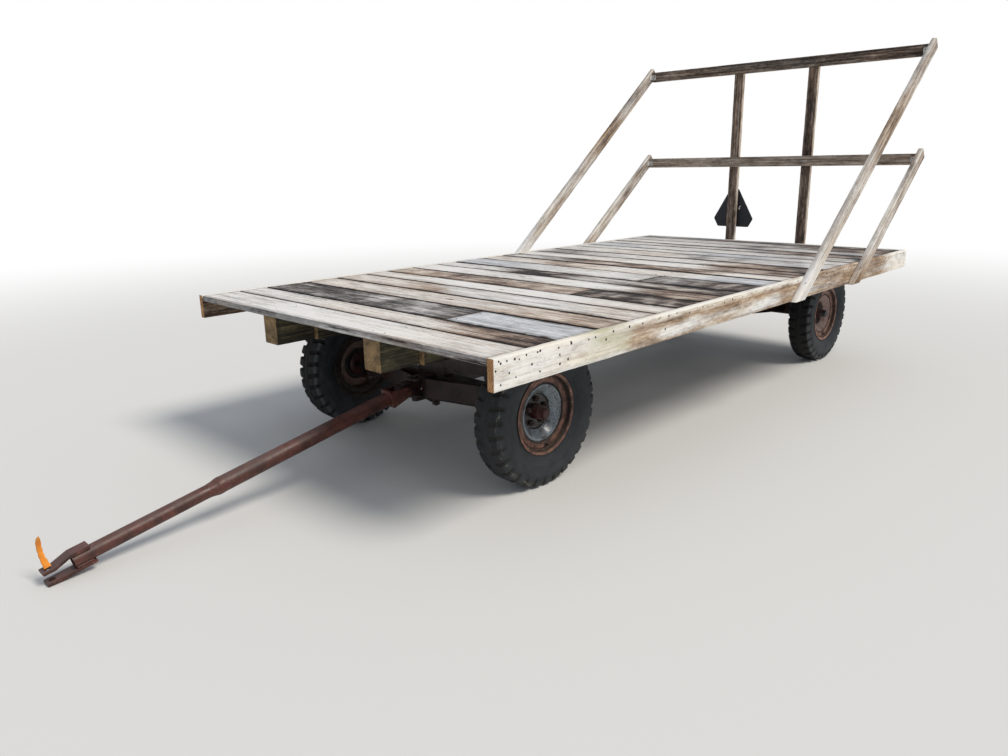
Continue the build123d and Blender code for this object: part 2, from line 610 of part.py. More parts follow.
def turned(*sections):
    """A piece turned from its sections about the axle line, its outer side toward +X."""
    with BuildPart() as piece:
        for section in sections:
            with BuildSketch(Plane.XY) as outline:
                with BuildLine():
                    Polyline(*section, close=True)
                make_face()
            revolve(outline.sketch, axis=Axis.X)
    return piece.part


def tyre_ring():
    """One flat's worth of the tyre's section, mitred at both ends and copied round the X axis."""
    half = ((TREAD_WIDE / 2, AXLE_HEIGHT), (TYRE_WIDE / 2, AXLE_HEIGHT - BULGE_DEPTH), (BEAD_HALF, SEAT_RADIUS))
    mitre = pi / LUG_COUNT
    with BuildPart() as flat:
        with BuildSketch(Plane.XZ) as outline:
            with BuildLine():
                Polyline(*half, *((-a, r) for a, r in reversed(half)), close=True)
            make_face()
        extrude(outline.sketch, amount=AXLE_HEIGHT * tan(mitre) + OVERCUT, both=True)
        for t in (-1, 1):
            split(bisect_by=Plane((0, 0, 0), x_dir=(1, 0, 0), z_dir=(0, t * cos(mitre), -sin(mitre))),
                  keep=Keep.BOTTOM)
    with BuildPart() as ring:
        with Locations(*(Location((0, 0, 0), (number * 360 / LUG_COUNT, 0, 0)) for number in range(LUG_COUNT))):
            add(flat.part)
    return ring.part


def groove_planes():
    """Planes across the grooves, those of one side staggered by half a step against the other's.

    Local X runs outward along a groove from the middle of its length, local Y away from the axle.
    """
    planes = []
    for t in (-1, 1):
        for number in range(LUG_COUNT):
            angle = 2 * pi * (number + (1 + t) / 4) / LUG_COUNT
            out = Vector(0, cos(angle), sin(angle))
            outward = Vector(t, 0, 0)
            middle = outward * (GROOVE_IN + TYRE_WIDE / 2) / 2
            along = outward.rotate(Axis((0, 0, 0), out), t * GROOVE_SKEW)
            planes.append(Plane(middle, x_dir=along, z_dir=along.cross(out)))
    return planes


def lugged_tyre():
    """The ring of flats with its grooves, each of which falls towards the sidewall."""
    length = (TYRE_WIDE / 2 - GROOVE_IN) / cos(radians(GROOVE_SKEW)) + 2 * OVERCUT
    top = AXLE_HEIGHT / cos(pi / LUG_COUNT) + OVERCUT          # past the corners between the flats
    floor = AXLE_HEIGHT - GROOVE_DEPTH
    with BuildPart() as tyre:
        add(tyre_ring())
        with BuildSketch(*groove_planes()) as grooves:
            with BuildLine():
                Polyline((-length / 2, top), (-length / 2, floor), (length / 2, floor - GROOVE_FALL),
                         (length / 2, top), close=True)
            make_face()
        extrude(grooves.sketch, amount=GROOVE_WIDE / 2, both=True, mode=Mode.SUBTRACT)
    return tyre.part


WHEELS = (("front", FRONT_AXLE_Y), ("rear", REAR_AXLE_Y))


def make_wheels():
    """The same tyre, steel wheel and hub on all four spindles, turned about for the right side."""
    pieces = (("tyre", lugged_tyre()), ("wheel", turned(RIM_SECTION, DISC_SECTION)), ("hub", turned(HUB_SECTION)))
    for end, y in WHEELS:
        for side, s in SIDES:
            for piece_name, piece in pieces:
                with BuildPart() as placed:
                    with Locations(Location((s * WHEEL_OUT, y, AXLE_HEIGHT), (0, 0, 90 - 90 * s))):
                        add(piece)
                keep(placed.part, f"{piece_name}_{end}_{side}")


if __name__ == "__main__":
    make_deck()
    make_deck_frame()
    make_rack()
    make_sign()
    for axle_name, axle_y, axle_steers in AXLES:
        make_axle(axle_name, axle_y, axle_steers)
        make_bolster(axle_name, axle_y)
    make_hounds()
    make_reach()
    make_crank()
    make_tie_rods()
    make_knuckles()
    make_tongue()
    make_wheels()
    print(f"deck middle y {DECK_Y:.4f}, crank {CRANK_Y:.4f}, hinge {HINGE_Y:.4f}, tongue drop {TONGUE_DROP:.6f} rad")
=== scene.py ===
# %% [markdown]
# # A flat hay wagon with a rear rack
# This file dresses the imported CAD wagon: sawn boards with grain, cracks and worn corners, lugged tyres,
# rusty paint, nails and small hardware. Each step says what the thing is on the real wagon, then how it
# is worked out. Lengths are metres; X runs to the wagon's left, Y to its rear and Z up.

# %% Frame
import json
from functools import partial
import bmesh
import bpy
import numpy as np
from mathutils import Matrix, Vector

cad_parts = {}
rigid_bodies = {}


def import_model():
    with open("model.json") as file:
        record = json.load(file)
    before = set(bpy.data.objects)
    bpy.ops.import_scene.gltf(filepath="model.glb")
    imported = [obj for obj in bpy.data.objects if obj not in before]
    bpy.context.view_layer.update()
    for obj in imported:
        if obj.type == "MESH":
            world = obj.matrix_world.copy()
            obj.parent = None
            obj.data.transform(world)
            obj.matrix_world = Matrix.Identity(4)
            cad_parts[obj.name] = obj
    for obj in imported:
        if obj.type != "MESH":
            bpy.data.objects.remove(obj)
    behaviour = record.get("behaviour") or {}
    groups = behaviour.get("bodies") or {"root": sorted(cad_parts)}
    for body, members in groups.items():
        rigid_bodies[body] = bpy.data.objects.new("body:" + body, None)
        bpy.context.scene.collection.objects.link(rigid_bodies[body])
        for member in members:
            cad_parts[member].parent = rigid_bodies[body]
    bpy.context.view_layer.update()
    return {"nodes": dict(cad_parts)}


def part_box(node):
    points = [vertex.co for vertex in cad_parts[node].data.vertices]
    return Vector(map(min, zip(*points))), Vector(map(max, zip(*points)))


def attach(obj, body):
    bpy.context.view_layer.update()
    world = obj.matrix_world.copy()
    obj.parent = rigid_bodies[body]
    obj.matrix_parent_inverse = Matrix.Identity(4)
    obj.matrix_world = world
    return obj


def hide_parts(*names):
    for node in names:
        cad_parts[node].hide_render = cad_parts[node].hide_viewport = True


for default in list(bpy.data.objects):
    bpy.data.objects.remove(default)
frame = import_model()

# %% [markdown]
# ## Camera
# The photograph was taken from off the front left corner, a little above the deck, with a wide lens. The
# values come from a camera solve on the deck's corners and the wheels. Yaw turns left from the +Y
# direction, pitch is the downward tilt and roll leans the horizon.

# %% Camera
SENSOR = 36.0                               # mm
FOCAL, PICTURE_WIDE = 776.1, 1008           # pixels
STAND = (3.3358, -3.8714, 1.6323)
YAW, PITCH, ROLL = np.radians((44.024, 15.415, -0.962))
level = np.array((-np.sin(YAW), np.cos(YAW), 0.0))
right = np.array((np.cos(YAW), np.sin(YAW), 0.0))
ahead = level * np.cos(PITCH) - np.array((0, 0, np.sin(PITCH)))
above = level * np.sin(PITCH) + np.array((0, 0, np.cos(PITCH)))
axes = (right * np.cos(ROLL) + above * np.sin(ROLL), above * np.cos(ROLL) - right * np.sin(ROLL), -ahead)
camera = bpy.data.objects.new("camera", bpy.data.cameras.new("camera"))
camera.data.sensor_width = SENSOR
camera.data.lens = FOCAL / PICTURE_WIDE * SENSOR
camera.data.clip_end = 200.0
camera.matrix_world = Matrix.Translation(STAND) @ Matrix(np.array(axes).T.tolist()).to_4x4()
bpy.context.scene.collection.objects.link(camera)
bpy.context.scene.camera = camera
bpy.context.scene.view_settings.view_transform = "Standard"
print("camera lens", round(camera.data.lens, 2))

# %% [markdown]
# ## Helpers
# Smooth random numbers come from one function: a lattice of fixed random values, blended between
# neighbours. Everything uneven on the wagon (worn corners, waves along a board, dents) is drawn from it.

# %% Noise
def lattice(cells, seed):
    """Fixed random values in -1..1 for integer cells (n, 3), from a hash of the cell and the seed."""
    x, y, z = cells.T
    h = (x * 73856093) ^ (y * 19349663) ^ (z * 83492791) ^ (seed * 2654435761)
    h = (h ^ (h >> 13)) * 1274126177 & 0xFFFFFFFF
    h = (h ^ (h >> 16)) * 2246822519 & 0xFFFFFFFF
    return ((h >> 8) & 0xFFFF) / 32767.5 - 1


def noise(points, seed=0, octaves=2):
    """Value noise in -1..1 at points (n, 3): blends the eight lattice values round each point.

    The blend weight is 3t^2 - 2t^3 and each further octave is twice as fine and half as strong.
    """
    total, weight = np.zeros(len(points)), 0.0
    for octave in range(octaves):
        p = points * 2.0 ** octave
        base = np.floor(p).astype(np.int64)
        t = p - base
        t = t * t * (3 - 2 * t)
        value = np.zeros(len(p))
        for corner in np.ndindex(2, 2, 2):
            c = np.array(corner)
            value += lattice(base + c, seed + octave) * np.prod(np.where(c, t, 1 - t), axis=1)
        total += value * 0.5 ** octave
        weight += 0.5 ** octave
    return total / weight


# %% Mesh
def mesh_object(name, verts, faces, smooth=True, **layers):
    """A new object from vertex and face arrays; faces is a list of (m, k) index arrays.

    Each layer is an (n, 1) or (n, 3) array per vertex, or per face when its name starts with face_.
    """
    mesh = bpy.data.meshes.new(name)
    loops = np.concatenate([f.ravel() for f in faces]).astype(np.int32)
    sizes = np.concatenate([np.full(len(f), f.shape[1]) for f in faces])
    mesh.vertices.add(len(verts))
    mesh.vertices.foreach_set("co", np.asarray(verts, np.float32).ravel())
    mesh.loops.add(len(loops))
    mesh.loops.foreach_set("vertex_index", loops)
    mesh.polygons.add(len(sizes))
    mesh.polygons.foreach_set("loop_start", (np.cumsum(sizes) - sizes).astype(np.int32))
    mesh.polygons.foreach_set("use_smooth", np.full(len(sizes), smooth))
    for layer, data in layers.items():
        kind, field = ("FLOAT", "value") if data.shape[1] == 1 else ("FLOAT_VECTOR", "vector")
        made = mesh.attributes.new(layer, kind, "FACE" if layer.startswith("face_") else "POINT")
        made.data.foreach_set(field, data.astype(np.float32).ravel())
    mesh.update(calc_edges=True)
    mesh.validate()
    made = bpy.data.objects.new(name, mesh)
    bpy.context.scene.collection.objects.link(made)
    return made


def ring_faces(rings, around, closed=False):
    """Quads between successive rings of a grid; closed joins the last ring to the first."""
    i, j = np.meshgrid(np.arange(rings if closed else rings - 1), np.arange(around), indexing="ij")
    a, b, whole = i * around + j, i * around + (j + 1) % around, rings * around
    return np.stack((a, b, (b + around) % whole, (a + around) % whole), -1).reshape(-1, 4)


def fan(point, first, around):
    """Triangles from one point to a ring whose points start at first."""
    k = np.arange(around)
    return np.stack((np.full(around, point), first + k, first + (k + 1) % around), -1)


def dress(piece, material, body, slot, *nodes):
    """Gives a piece its material, the body it rides on and the nodes that it stands for. slot is not used."""
    piece.data.materials.append(material)
    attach(piece, body)
    if nodes:
        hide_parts(*nodes)
    print(piece.name, len(piece.data.polygons), "faces")


def corners_of(name):
    """The lowest and highest corner of a CAD node's box."""
    return [np.array(v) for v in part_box(name)]


def unit(vectors):
    """Vectors (n, k) scaled to length 1."""
    return vectors / np.linalg.norm(vectors, axis=1, keepdims=True)


def run_of(line):
    """How far along a line each of its points (n, k) lies."""
    return np.concatenate(([0], np.cumsum(np.linalg.norm(np.diff(line, axis=0), axis=1))))


def fade(value, none, full):
    """The share of the way from none to full that value has come, 0..1."""
    return np.clip((value - none) / (full - none), 0, 1)


def circle(count):
    """The cosines and sines of equal steps round a circle."""
    turn = np.arange(count) * 2 * np.pi / count
    return np.cos(turn), np.sin(turn)


# %% [markdown]
# ## Shader helper
# A finish is a tree of nodes that ends in the Principled shader. One function adds a node, sets its
# properties and either links or sets each of its inputs. Colours are written as sRGB hex, the way they
# are read off a paint card, and turned into the linear values that a renderer adds up.

# %% Shaders
TIMES, TIMES_PLUS = {"operation": "MULTIPLY"}, {"operation": "MULTIPLY_ADD"}    # a * b and a * b + c
COLOURS = {"data_type": "RGBA"}                                                 # what a Mix node mixes
DARKEN = {"data_type": "RGBA", "blend_type": "MULTIPLY"}


def colour(text):
    """Linear RGBA of an sRGB hex colour: c/12.92 below 0.04045, else ((c + 0.055)/1.055)^2.4."""
    c = np.array([int(text[i:i + 2], 16) for i in (1, 3, 5)]) / 255
    return (*np.where(c <= 0.04045, c / 12.92, ((c + 0.055) / 1.055) ** 2.4), 1.0)


def node(tree, kind, *values, out=None, stops=(), **settings):
    """Adds a node with its settings and links and returns one output: the one called out, or the first.

    values fill the inputs in use in their order, and a dict among them fills inputs by name; another
    node's output is linked, anything else is set. stops are the (position, hex) pairs of a colour ramp.
    """
    made = tree.nodes.new("ShaderNode" + kind)
    for key, value in settings.items():
        setattr(made, key, value)
    while stops and len(made.color_ramp.elements) < len(stops):
        made.color_ramp.elements.new(1.0)
    for k, (position, text) in enumerate(stops):
        made.color_ramp.elements[k].position = position
        made.color_ramp.elements[k].color = colour(text)
    pairs = list(zip([socket for socket in made.inputs if socket.enabled], values))
    if values and isinstance(values[0], dict):
        pairs = [(made.inputs[key], value) for key, value in values[0].items()]
    for socket, value in pairs:
        if isinstance(value, bpy.types.NodeSocket):
            tree.links.new(value, socket)
        else:
            socket.default_value = value
    used = {socket.name: socket for socket in made.outputs if socket.enabled}
    return list(used.values()) if out == "all" else used.get(out, next(iter(used.values()), None))


def finish(name, roughness):
    """A new material, and the function that adds nodes to its tree."""
    material = bpy.data.materials.new(name)
    material.use_nodes = True
    material.node_tree.nodes["Principled BSDF"].inputs["Roughness"].default_value = roughness
    return material, partial(node, material.node_tree)


def coat(material, height=None, strength=0.3, deep=0.001, **ends):
    """Links outputs to the shader's inputs (Base_Color is Base Color) and a height through a bump."""
    tree = material.node_tree
    if height:
        ends["Normal"] = node(tree, "Bump", {"Strength": strength, "Distance": deep, "Height": height})
    for key, output in ends.items():
        tree.links.new(output, tree.nodes["Principled BSDF"].inputs[key.replace("_", " ")])


def pattern(add, place, size, detail=3.0, rough=0.55, warp=0.0):
    """Noise whose blobs are about size (x, y, z in metres) across, 0..1, read at place."""
    scaled = add("VectorMath", place, [1 / s for s in size], **TIMES)
    return add("TexNoise", {"Vector": scaled, "Scale": 1.0, "Detail": detail, "Roughness": rough,
                            "Distortion": warp})


def centred(add, value, gain, onto):
    """onto + gain * (value - 0.5)."""
    return add("Math", add("Math", value, 0.5, operation="SUBTRACT"), gain, onto, **TIMES_PLUS)


# %% [markdown]
# ## Light, floor and background
# Soft daylight: a pale sky all round and one broad sun from the wagon's left and a little behind, as the
# pale side faces and dark front faces of the rack show. The floor is a plain pale sheet that takes the
# wagon's shadow and fades into the white background with distance.

# %% Light
world = bpy.data.worlds.new("pale sky")
world.use_nodes = True
bpy.context.scene.world = world
sky = world.node_tree
sky.nodes.clear()
seen = node(sky, "LightPath", out="Is Camera Ray")
even = node(sky, "Background", colour("#e4ebf6"), 0.52)
white = node(sky, "Background", colour("#ffffff"), 1.0)
node(sky, "OutputWorld", node(sky, "MixShader", seen, even, white))
SUN_FROM = Vector((0.62, 0.16, 0.78))
sun = bpy.data.objects.new("sun", bpy.data.lights.new("sun", "SUN"))
sun.data.energy = 2.45
sun.data.angle = np.radians(22.0)
sun.data.color = colour("#fff8ee")[:3]
sun.rotation_euler = SUN_FROM.to_track_quat("Z", "Y").to_euler()
bpy.context.scene.collection.objects.link(sun)
print("sun from", SUN_FROM)

# %% Floor
FLOOR_HALF, FADE_FROM, FADE_TO = 60.0, 4.0, 13.0
floor = mesh_object("floor", np.array([(-1, -1, 0), (1, -1, 0), (1, 1, 0), (-1, 1, 0)]) * FLOOR_HALF,
                    [np.array([[0, 1, 2, 3]])], smooth=False)
pale, add = finish("plain pale floor", 0.9)
lit = pale.node_tree.nodes["Principled BSDF"]
lit.inputs["Base Color"].default_value = colour("#dcdcda")
away = add("VectorMath", add("TexCoord", out="Object"), operation="LENGTH")
far = add("MapRange", away, FADE_FROM, FADE_TO, interpolation_type="SMOOTHSTEP")
both = add("MixShader", far, lit.outputs[0], add("Emission", colour("#ffffff"), 1.0))
pale.node_tree.links.new(both, pale.node_tree.nodes["Material Output"].inputs[0])
floor.data.materials.append(pale)
print("floor", FLOOR_HALF * 2, "m wide")

# %% [markdown]
# ## Sawn boards
# Every wooden part is a sawn board: straight, with rounded and chipped corners, a slight wave along
# its length and end grain at both ends. A board is a tube of rings. Each ring is a rectangle whose
# corners are rounded by a radius that wanders along the board; the last rings shrink onto the end face.

# %% Boards
WAVE, RING_GAP, POINT_GAP = 0.0012, 0.03, 0.022     # depth of the wave, spacing along and round a board


def section(wide, thick):
    """Points round a rounded rectangle as (centre share, normal) pairs, each (n, 2).

    A point sits at centre * (half size - radius) + normal * radius.
    """
    centres, normals = [], []
    corners = ((1, 1), (-1, 1), (-1, -1), (1, -1))
    for k, (sv, sw) in enumerate(corners):
        for angle in np.radians((0, 45, 90)) + np.pi / 2 * k:
            centres.append((sv, sw))
            normals.append((np.cos(angle), np.sin(angle)))
        nv, nw = corners[(k + 1) % 4]
        count = wide if k % 2 == 0 else thick
        for share in np.arange(1, count + 1) / (count + 1):
            centres.append((sv + (nv - sv) * share, sw + (nw - sw) * share))
            normals.append((np.cos(np.pi / 2 * (k + 1)), np.sin(np.pi / 2 * (k + 1))))
    return np.array(centres), np.array(normals)


def board(start, end, thick, seed, looks, worn=0.004):
    """One board as (verts, quads, triangles, grain, look, cap).

    start and end are the two cut lines, each ((x, y, z), (x, y, z)) across the width, and thick is the
    vector from one face to the other. Rings follow the share t along the board; a ring's radius is
    worn * (1 + 0.75 coarse + 0.35 fine noise) and each point then moves in by WAVE * (0.5 + 0.5 noise).
    looks is a function of the shares (along, across, through) that gives tone, warmth and maybe moss.
    """
    start, end, thick = np.array(start, float), np.array(end, float), np.array(thick, float)
    deep = np.linalg.norm(thick)
    across = start[1] - start[0]
    axis = (end - start).mean(0)
    length = np.linalg.norm(axis)
    axis = axis / length
    square = across - axis * (across @ axis)
    wide = np.linalg.norm(square)
    centres, normals = section(max(2, int(wide / POINT_GAP)), max(1, int(deep / POINT_GAP)))
    count = max(6, int(length / RING_GAP))
    ease = worn * 0.8 / length
    t = np.clip(np.linspace(0, 1, count + 1), ease, 1 - ease)
    t = np.concatenate(([0, 0, 0, ease * 0.3], t, [1 - ease * 0.3, 1, 1, 1]))
    shrink = np.concatenate(([0, 0, 1, 0.3], np.zeros(count + 1), [0.3, 1, 0, 0]))
    scale = np.concatenate(([0.35, 0.75, 1, 1], np.ones(count + 1), [1, 1, 0.75, 0.35]))
    tt, j = np.meshgrid(t, np.arange(len(centres)), indexing="ij")
    c, n = centres[j], normals[j]
    spot = np.stack((tt * length, c[..., 0] * wide / 2 + seed * 7.3, c[..., 1] * deep / 2), -1)
    spot = spot.reshape(-1, 3)
    chips = noise(spot * (9, 3, 3), seed).reshape(tt.shape)
    fine = noise(spot * (38, 9, 9), seed + 5, 1).reshape(tt.shape)
    radius = worn * (1.0 + 0.75 * chips + 0.35 * fine).clip(0.15, None)
    radius = np.minimum(radius, deep * 0.4)
    inset = shrink[:, None] * np.minimum(worn * 0.8, radius)
    flat = np.array((wide, deep)) / 2
    local = c * (flat - radius[..., None]) + n * (radius - inset)[..., None]
    swell = noise(spot * (2.2, 5, 5), seed + 11).reshape(tt.shape)
    body = (scale == 1)[:, None] & (shrink == 0)[:, None]
    local = local - n * (WAVE * (0.5 + 0.5 * swell) * body)[..., None]
    local = local * scale[:, None, None]
    share = local[..., :1] / wide + 0.5
    low = start[0] + (start[1] - start[0]) * share
    high = end[0] + (end[1] - end[0]) * share
    verts = low + (high - low) * tt[..., None] + thick * (local[..., 1:] / deep + 0.5)
    rings, around = tt.shape
    quads = ring_faces(rings, around)
    total = rings * around
    tips = np.concatenate((fan(total, 0, around)[:, (0, 2, 1)], fan(total + 1, total - around, around)))
    verts = np.concatenate((verts.reshape(-1, 3), verts[[0, -1]].mean(1)))
    if np.linalg.det(np.array((axis, square / wide, thick / deep))) >= 0:
        quads, tips = quads[:, ::-1], tips[:, ::-1]
    draw = np.random.default_rng(seed)
    pith = draw.uniform((-0.4 * wide, 0.02), (0.4 * wide, 0.09))
    along = (verts - start[0]) @ axis
    side = (verts - start[0]) @ (square / wide) - wide / 2
    up = (verts - start[0]) @ (thick / deep)
    grain = np.stack((along + draw.uniform(2, 40), side + pith[0], up + pith[1]), -1)
    tone, warm, moss = (*looks(along / length, side / wide + 0.5, up / deep), 0.0)[:3]
    edge = np.minimum(np.minimum(side + wide / 2, wide / 2 - side), np.minimum(along, length - along))
    edge = np.exp(-np.clip(edge, 0, None) / 0.012)
    look = np.stack([np.broadcast_to(x, edge.shape) for x in (tone, warm, edge, moss)], -1)
    ring = np.arange(rings - 1)
    return verts, quads, tips, grain, look, np.repeat((ring < 3) | (ring >= rings - 4), around)


def join_boards(name, boards, material, slot, stands_for):
    """Joins boards into one piece and dresses it as a CAD node. The end faces' cap is 1."""
    verts, quads, tips, grain, look, cap = zip(*boards)
    starts = np.cumsum([0] + [len(v) for v in verts])
    quads, tips = (np.concatenate([f + n for f, n in zip(part, starts)]) for part in (quads, tips))
    look = np.concatenate(look)
    piece = mesh_object(name, np.concatenate(verts), [quads, tips], grain=np.concatenate(grain),
                        look=look[:, :3], moss=look[:, 3:],
                        face_cap=np.concatenate((*cap, np.ones(len(tips))))[:, None])
    dress(piece, material, "wagon", slot, stands_for)


# %% [markdown]
# ## Weathered wood
# Old planks lie out in sun and rain: the surface turns silver grey, the soft wood between the rings
# wears away, cracks open along the grain and dirt stays in the gaps. The finish is read in the board's
# own coordinates (along, across, through), so grain always runs along a board. Growth rings are
# cylinders round the tree's pith, which cut the face as long lines and the sawn end as arcs.

# %% Wood
# Each row goes from the darkest shade of a wood to its palest
GREYS, TANS, CREAMS, RUSTICS, OLIVES, YELLOWS = (tuple(zip((0.0, 0.28, 0.6, 1.0), row.split())) for row in (
    "#1c1918 #575250 #a2a09e #e9e8e6", "#241812 #654c3b #ae9682 #e8dfd2", "#2a1d12 #6b5138 #b09578 #ebe4d2",
    "#1d1814 #544a43 #96897c #d8cfc2", "#12120d #2f2e22 #56543f #8f8b70", "#1c170e #453b26 #716240 #a08f6a"))
KNOT_CELL = (0.42, 0.13, 0.15)              # about one knot to each cell of this size


def wood(name, low_end, high_end, cool=GREYS, tan=TANS, streaks=1.0, ringed=1.0, cracked=1.0, rim=-0.3,
         specks=0.0, mottled=1.0, knots=1.0):
    """Weathered sawn wood. tone (0 dark to 1 pale) and warmth (-1 blue, 0 grey, 1 tan) come from the
    boards; the sawn ends run from low_end to high_end and rim is how much paler the edges are."""
    material, add = finish(name, 0.82)
    place = add("Attribute", out="Vector", attribute_name="grain")
    tone, warm, edge = add("SeparateXYZ", add("Attribute", out="Vector", attribute_name="look"), out="all")
    moss, cap = (add("Attribute", out="Fac", attribute_name=layer) for layer in ("moss", "face_cap"))
    fibre = pattern(add, place, (0.16, 0.0025, 0.0025), 4, 0.65)
    streak = pattern(add, place, (0.9, 0.011, 0.03), 4, 0.62, 0.25)
    blotch = pattern(add, place, (0.22, 0.05, 0.06), 6, 0.66)
    mottle = pattern(add, place, (0.05, 0.014, 0.02), 6, 0.72, 0.4)
    stain = pattern(add, place, (0.6, 0.04, 0.2), 4, 0.65, 0.5)
    squash = add("VectorMath", place, (0.045, 1.0, 1.0), **TIMES)
    rings = add("TexWave", {"Vector": squash, "Scale": 30.0, "Distortion": 3.0, "Detail": 2.0,
                            "Detail Scale": 1.2}, out="Fac", wave_type="RINGS", rings_direction="X")
    crack = add("MapRange", pattern(add, place, (0.5, 0.004, 0.03), 3, 0.5, 0.15), 0.635, 0.70)
    worked = 0.0
    for value, gain in ((streak, 1.1 * streaks), (fibre, 0.3), (blotch, 0.95 * mottled),
                        (mottle, 0.75 * mottled), (rings, 0.12 * ringed)):
        worked = centred(add, value, gain, worked)
    worked = add("Math", worked, add("Math", tone, -0.75, 1.65, **TIMES_PLUS), tone, **TIMES_PLUS)
    dirt = add("Math", edge, add("MapRange", blotch, 0.3, 0.65, 0.35, 1.5), **TIMES)
    worked = add("Math", dirt, rim, worked, **TIMES_PLUS)
    worked = add("Math", crack, -0.5 * cracked, worked, **TIMES_PLUS)
    if specks:
        dots = add("MapRange", pattern(add, place, (0.03, 0.012, 0.012), 5, 0.72), 0.60, 0.72)
        worked = add("Math", dots, -specks, worked, **TIMES_PLUS)
    cells = add("VectorMath", place, [1 / size for size in KNOT_CELL], **TIMES)
    knot = add("TexVoronoi", {"Vector": cells, "Scale": 1.0}, out="Distance")
    knot = add("MapRange", centred(add, mottle, 0.06, knot), 0.10 * knots + 0.001, 0.055 * knots, 0.0, knots)
    worked = add("Math", knot, -0.45, worked, **TIMES_PLUS)
    warmth = add("MapRange", add("Math", knot, centred(add, stain, 1.7, warm), operation="ADD"), 0.0, 1.0)
    grey, brown = (add("ValToRGB", worked, stops=stops) for stops in (cool, tan))
    face = add("Mix", warmth, grey, brown, **COLOURS)
    face = add("Mix", add("MapRange", warm, 0.0, -1.0), face, colour("#c4d2e8"), **DARKEN)
    mossy = add("Math", moss, add("MapRange", blotch, 0.35, 0.6), **TIMES)
    face = add("Mix", mossy, face, colour("#9a9a60"), **COLOURS)
    sawn = centred(add, mottle, 0.9, centred(add, rings, 0.4, centred(add, blotch, 1.5, 0.5)))
    sawn = add("ValToRGB", sawn, stops=((0.15, low_end), (0.85, high_end)))
    face = add("Mix", cap, face, sawn, **COLOURS)
    depth = add("Math", fibre, 0.6, add("Math", rings, 0.25, **TIMES), **TIMES_PLUS)
    depth = add("Math", streak, 0.8, depth, **TIMES_PLUS)
    depth = add("Math", crack, -1.8 * cracked, depth, **TIMES_PLUS)
    coat(material, depth, 0.6, 0.0015, Base_Color=face)
    return material


weathered = wood("weathered sawn pine", "#211b16", "#6e5c4b")
rail_wood = wood("bleached rail pine", "#7a5433", "#c99866", tan=CREAMS, streaks=0.4, ringed=0.3,
                 cracked=0.35, rim=0.06, specks=0.4, mottled=0.85, knots=0.0)
brace_wood = wood("pale brace pine", "#5d412c", "#b58a62", tan=CREAMS, streaks=0.8, ringed=0.6, cracked=0.8,
                  rim=-0.05, specks=0.3, mottled=0.7, knots=0.55)
rack_wood = wood("grey rack pine", "#5b4a38", "#a08b6c", RUSTICS, streaks=0.7, rim=0.05, mottled=0.85)
treated = wood("pressure treated timber", "#362a17", "#a08258", OLIVES, YELLOWS, streaks=0.6, mottled=0.8)
print("woods made")

# %% [markdown]
# ## Deck planks
# The planks run across the wagon. Each keeps the colour of its own life before this wagon: silver,
# cream, blush, blue-grey, brown or charcoal. Three are made of two lengths. A plank lies a hair lower or
# higher than its neighbours and its ends stop a few millimetres from the rails.

# %% Deck
# Tone and warmth of each finish
FINISHES = {"silver": (0.88, 0.08), "white": (1.02, 0.08), "cream": (0.92, 0.38), "blush": (0.82, 0.46),
            "blue": (0.86, -0.35), "grey": (0.66, 0.10), "tan": (0.66, 0.72), "brown": (0.46, 0.66),
            "dark": (0.26, 0.30), "charcoal": (0.46, 0.0)}
WIDTHS = {8: 0.184, 10: 0.235, 12: 0.286}
# From the front: nominal width, then finishes from the left (+X) end to the right end
PLANKS = ((10, "cream white white silver"), (8, "brown cream cream silver"),
          (12, "blue blue charcoal charcoal"), (10, "tan blush blush blush"),
          (10, "blush silver silver tan blush"), (8, "cream white white cream"),
          (10, "dark dark tan brown tan"), (10, "brown white silver white"),
          (8, "dark grey dark silver"), (12, "dark charcoal silver blue"),
          (10, "blue cream tan blush"), (8, "cream brown brown grey"),
          (10, "brown white cream silver"), (10, "brown silver silver grey"),
          (12, "silver grey blush silver"), (8, "silver blue silver silver"),
          (10, "grey silver silver blue"), (8, "brown grey grey silver"), (10, "grey grey silver silver"),
          (10, "brown grey silver silver"), (10, "dark dark brown grey"))
JOINTS = {2: 0.478, 6: 0.492, 9: 0.498}     # planks in two lengths, and the joint's X
GAP, JOINT_GAP, UNEVEN = 0.008, 0.004, 0.003


def shades(words, seed, gap_shade, grime):
    """A plank's looks: its finishes follow one another along it, with wandering borders; a border is as wide
    as half a finish's own length. A dark finish has paler patches. The third argument is how much darker the
    two long edges are than the top, painted shade in the gaps between planks, and grime how much darker the
    top gets toward them."""
    kinds = np.array([FINISHES[word] for word in words])

    def looks(t, across, through):
        spot = np.stack((t * 4, across * 2, np.zeros_like(t)), -1)
        at = t * len(kinds) - 0.5 + 0.5 * noise(spot, seed)
        at = np.clip(at, 0, len(kinds) - 1)
        low = np.minimum(at.astype(int), len(kinds) - 2)
        mix = np.clip((at - low - 0.5) * 2 + 0.5, 0, 1)[:, None]
        tone, warm = (kinds[low] * (1 - mix) + kinds[low + 1] * mix).T
        # The plank's two long edges, darkened below as painted shade in the gaps between planks.
        side = fade(np.abs(across - 0.5), 0.480, 0.492)
        tone = tone + 0.9 * noise(spot * (3.5, 1, 1), seed + 300, 3) * np.clip(0.95 - tone, 0, 1)
        tone -= grime * (np.exp(-across / 0.12) + np.exp((across - 1) / 0.12))
        return tone - gap_shade * side, warm * (1 - 0.6 * side)
    return looks


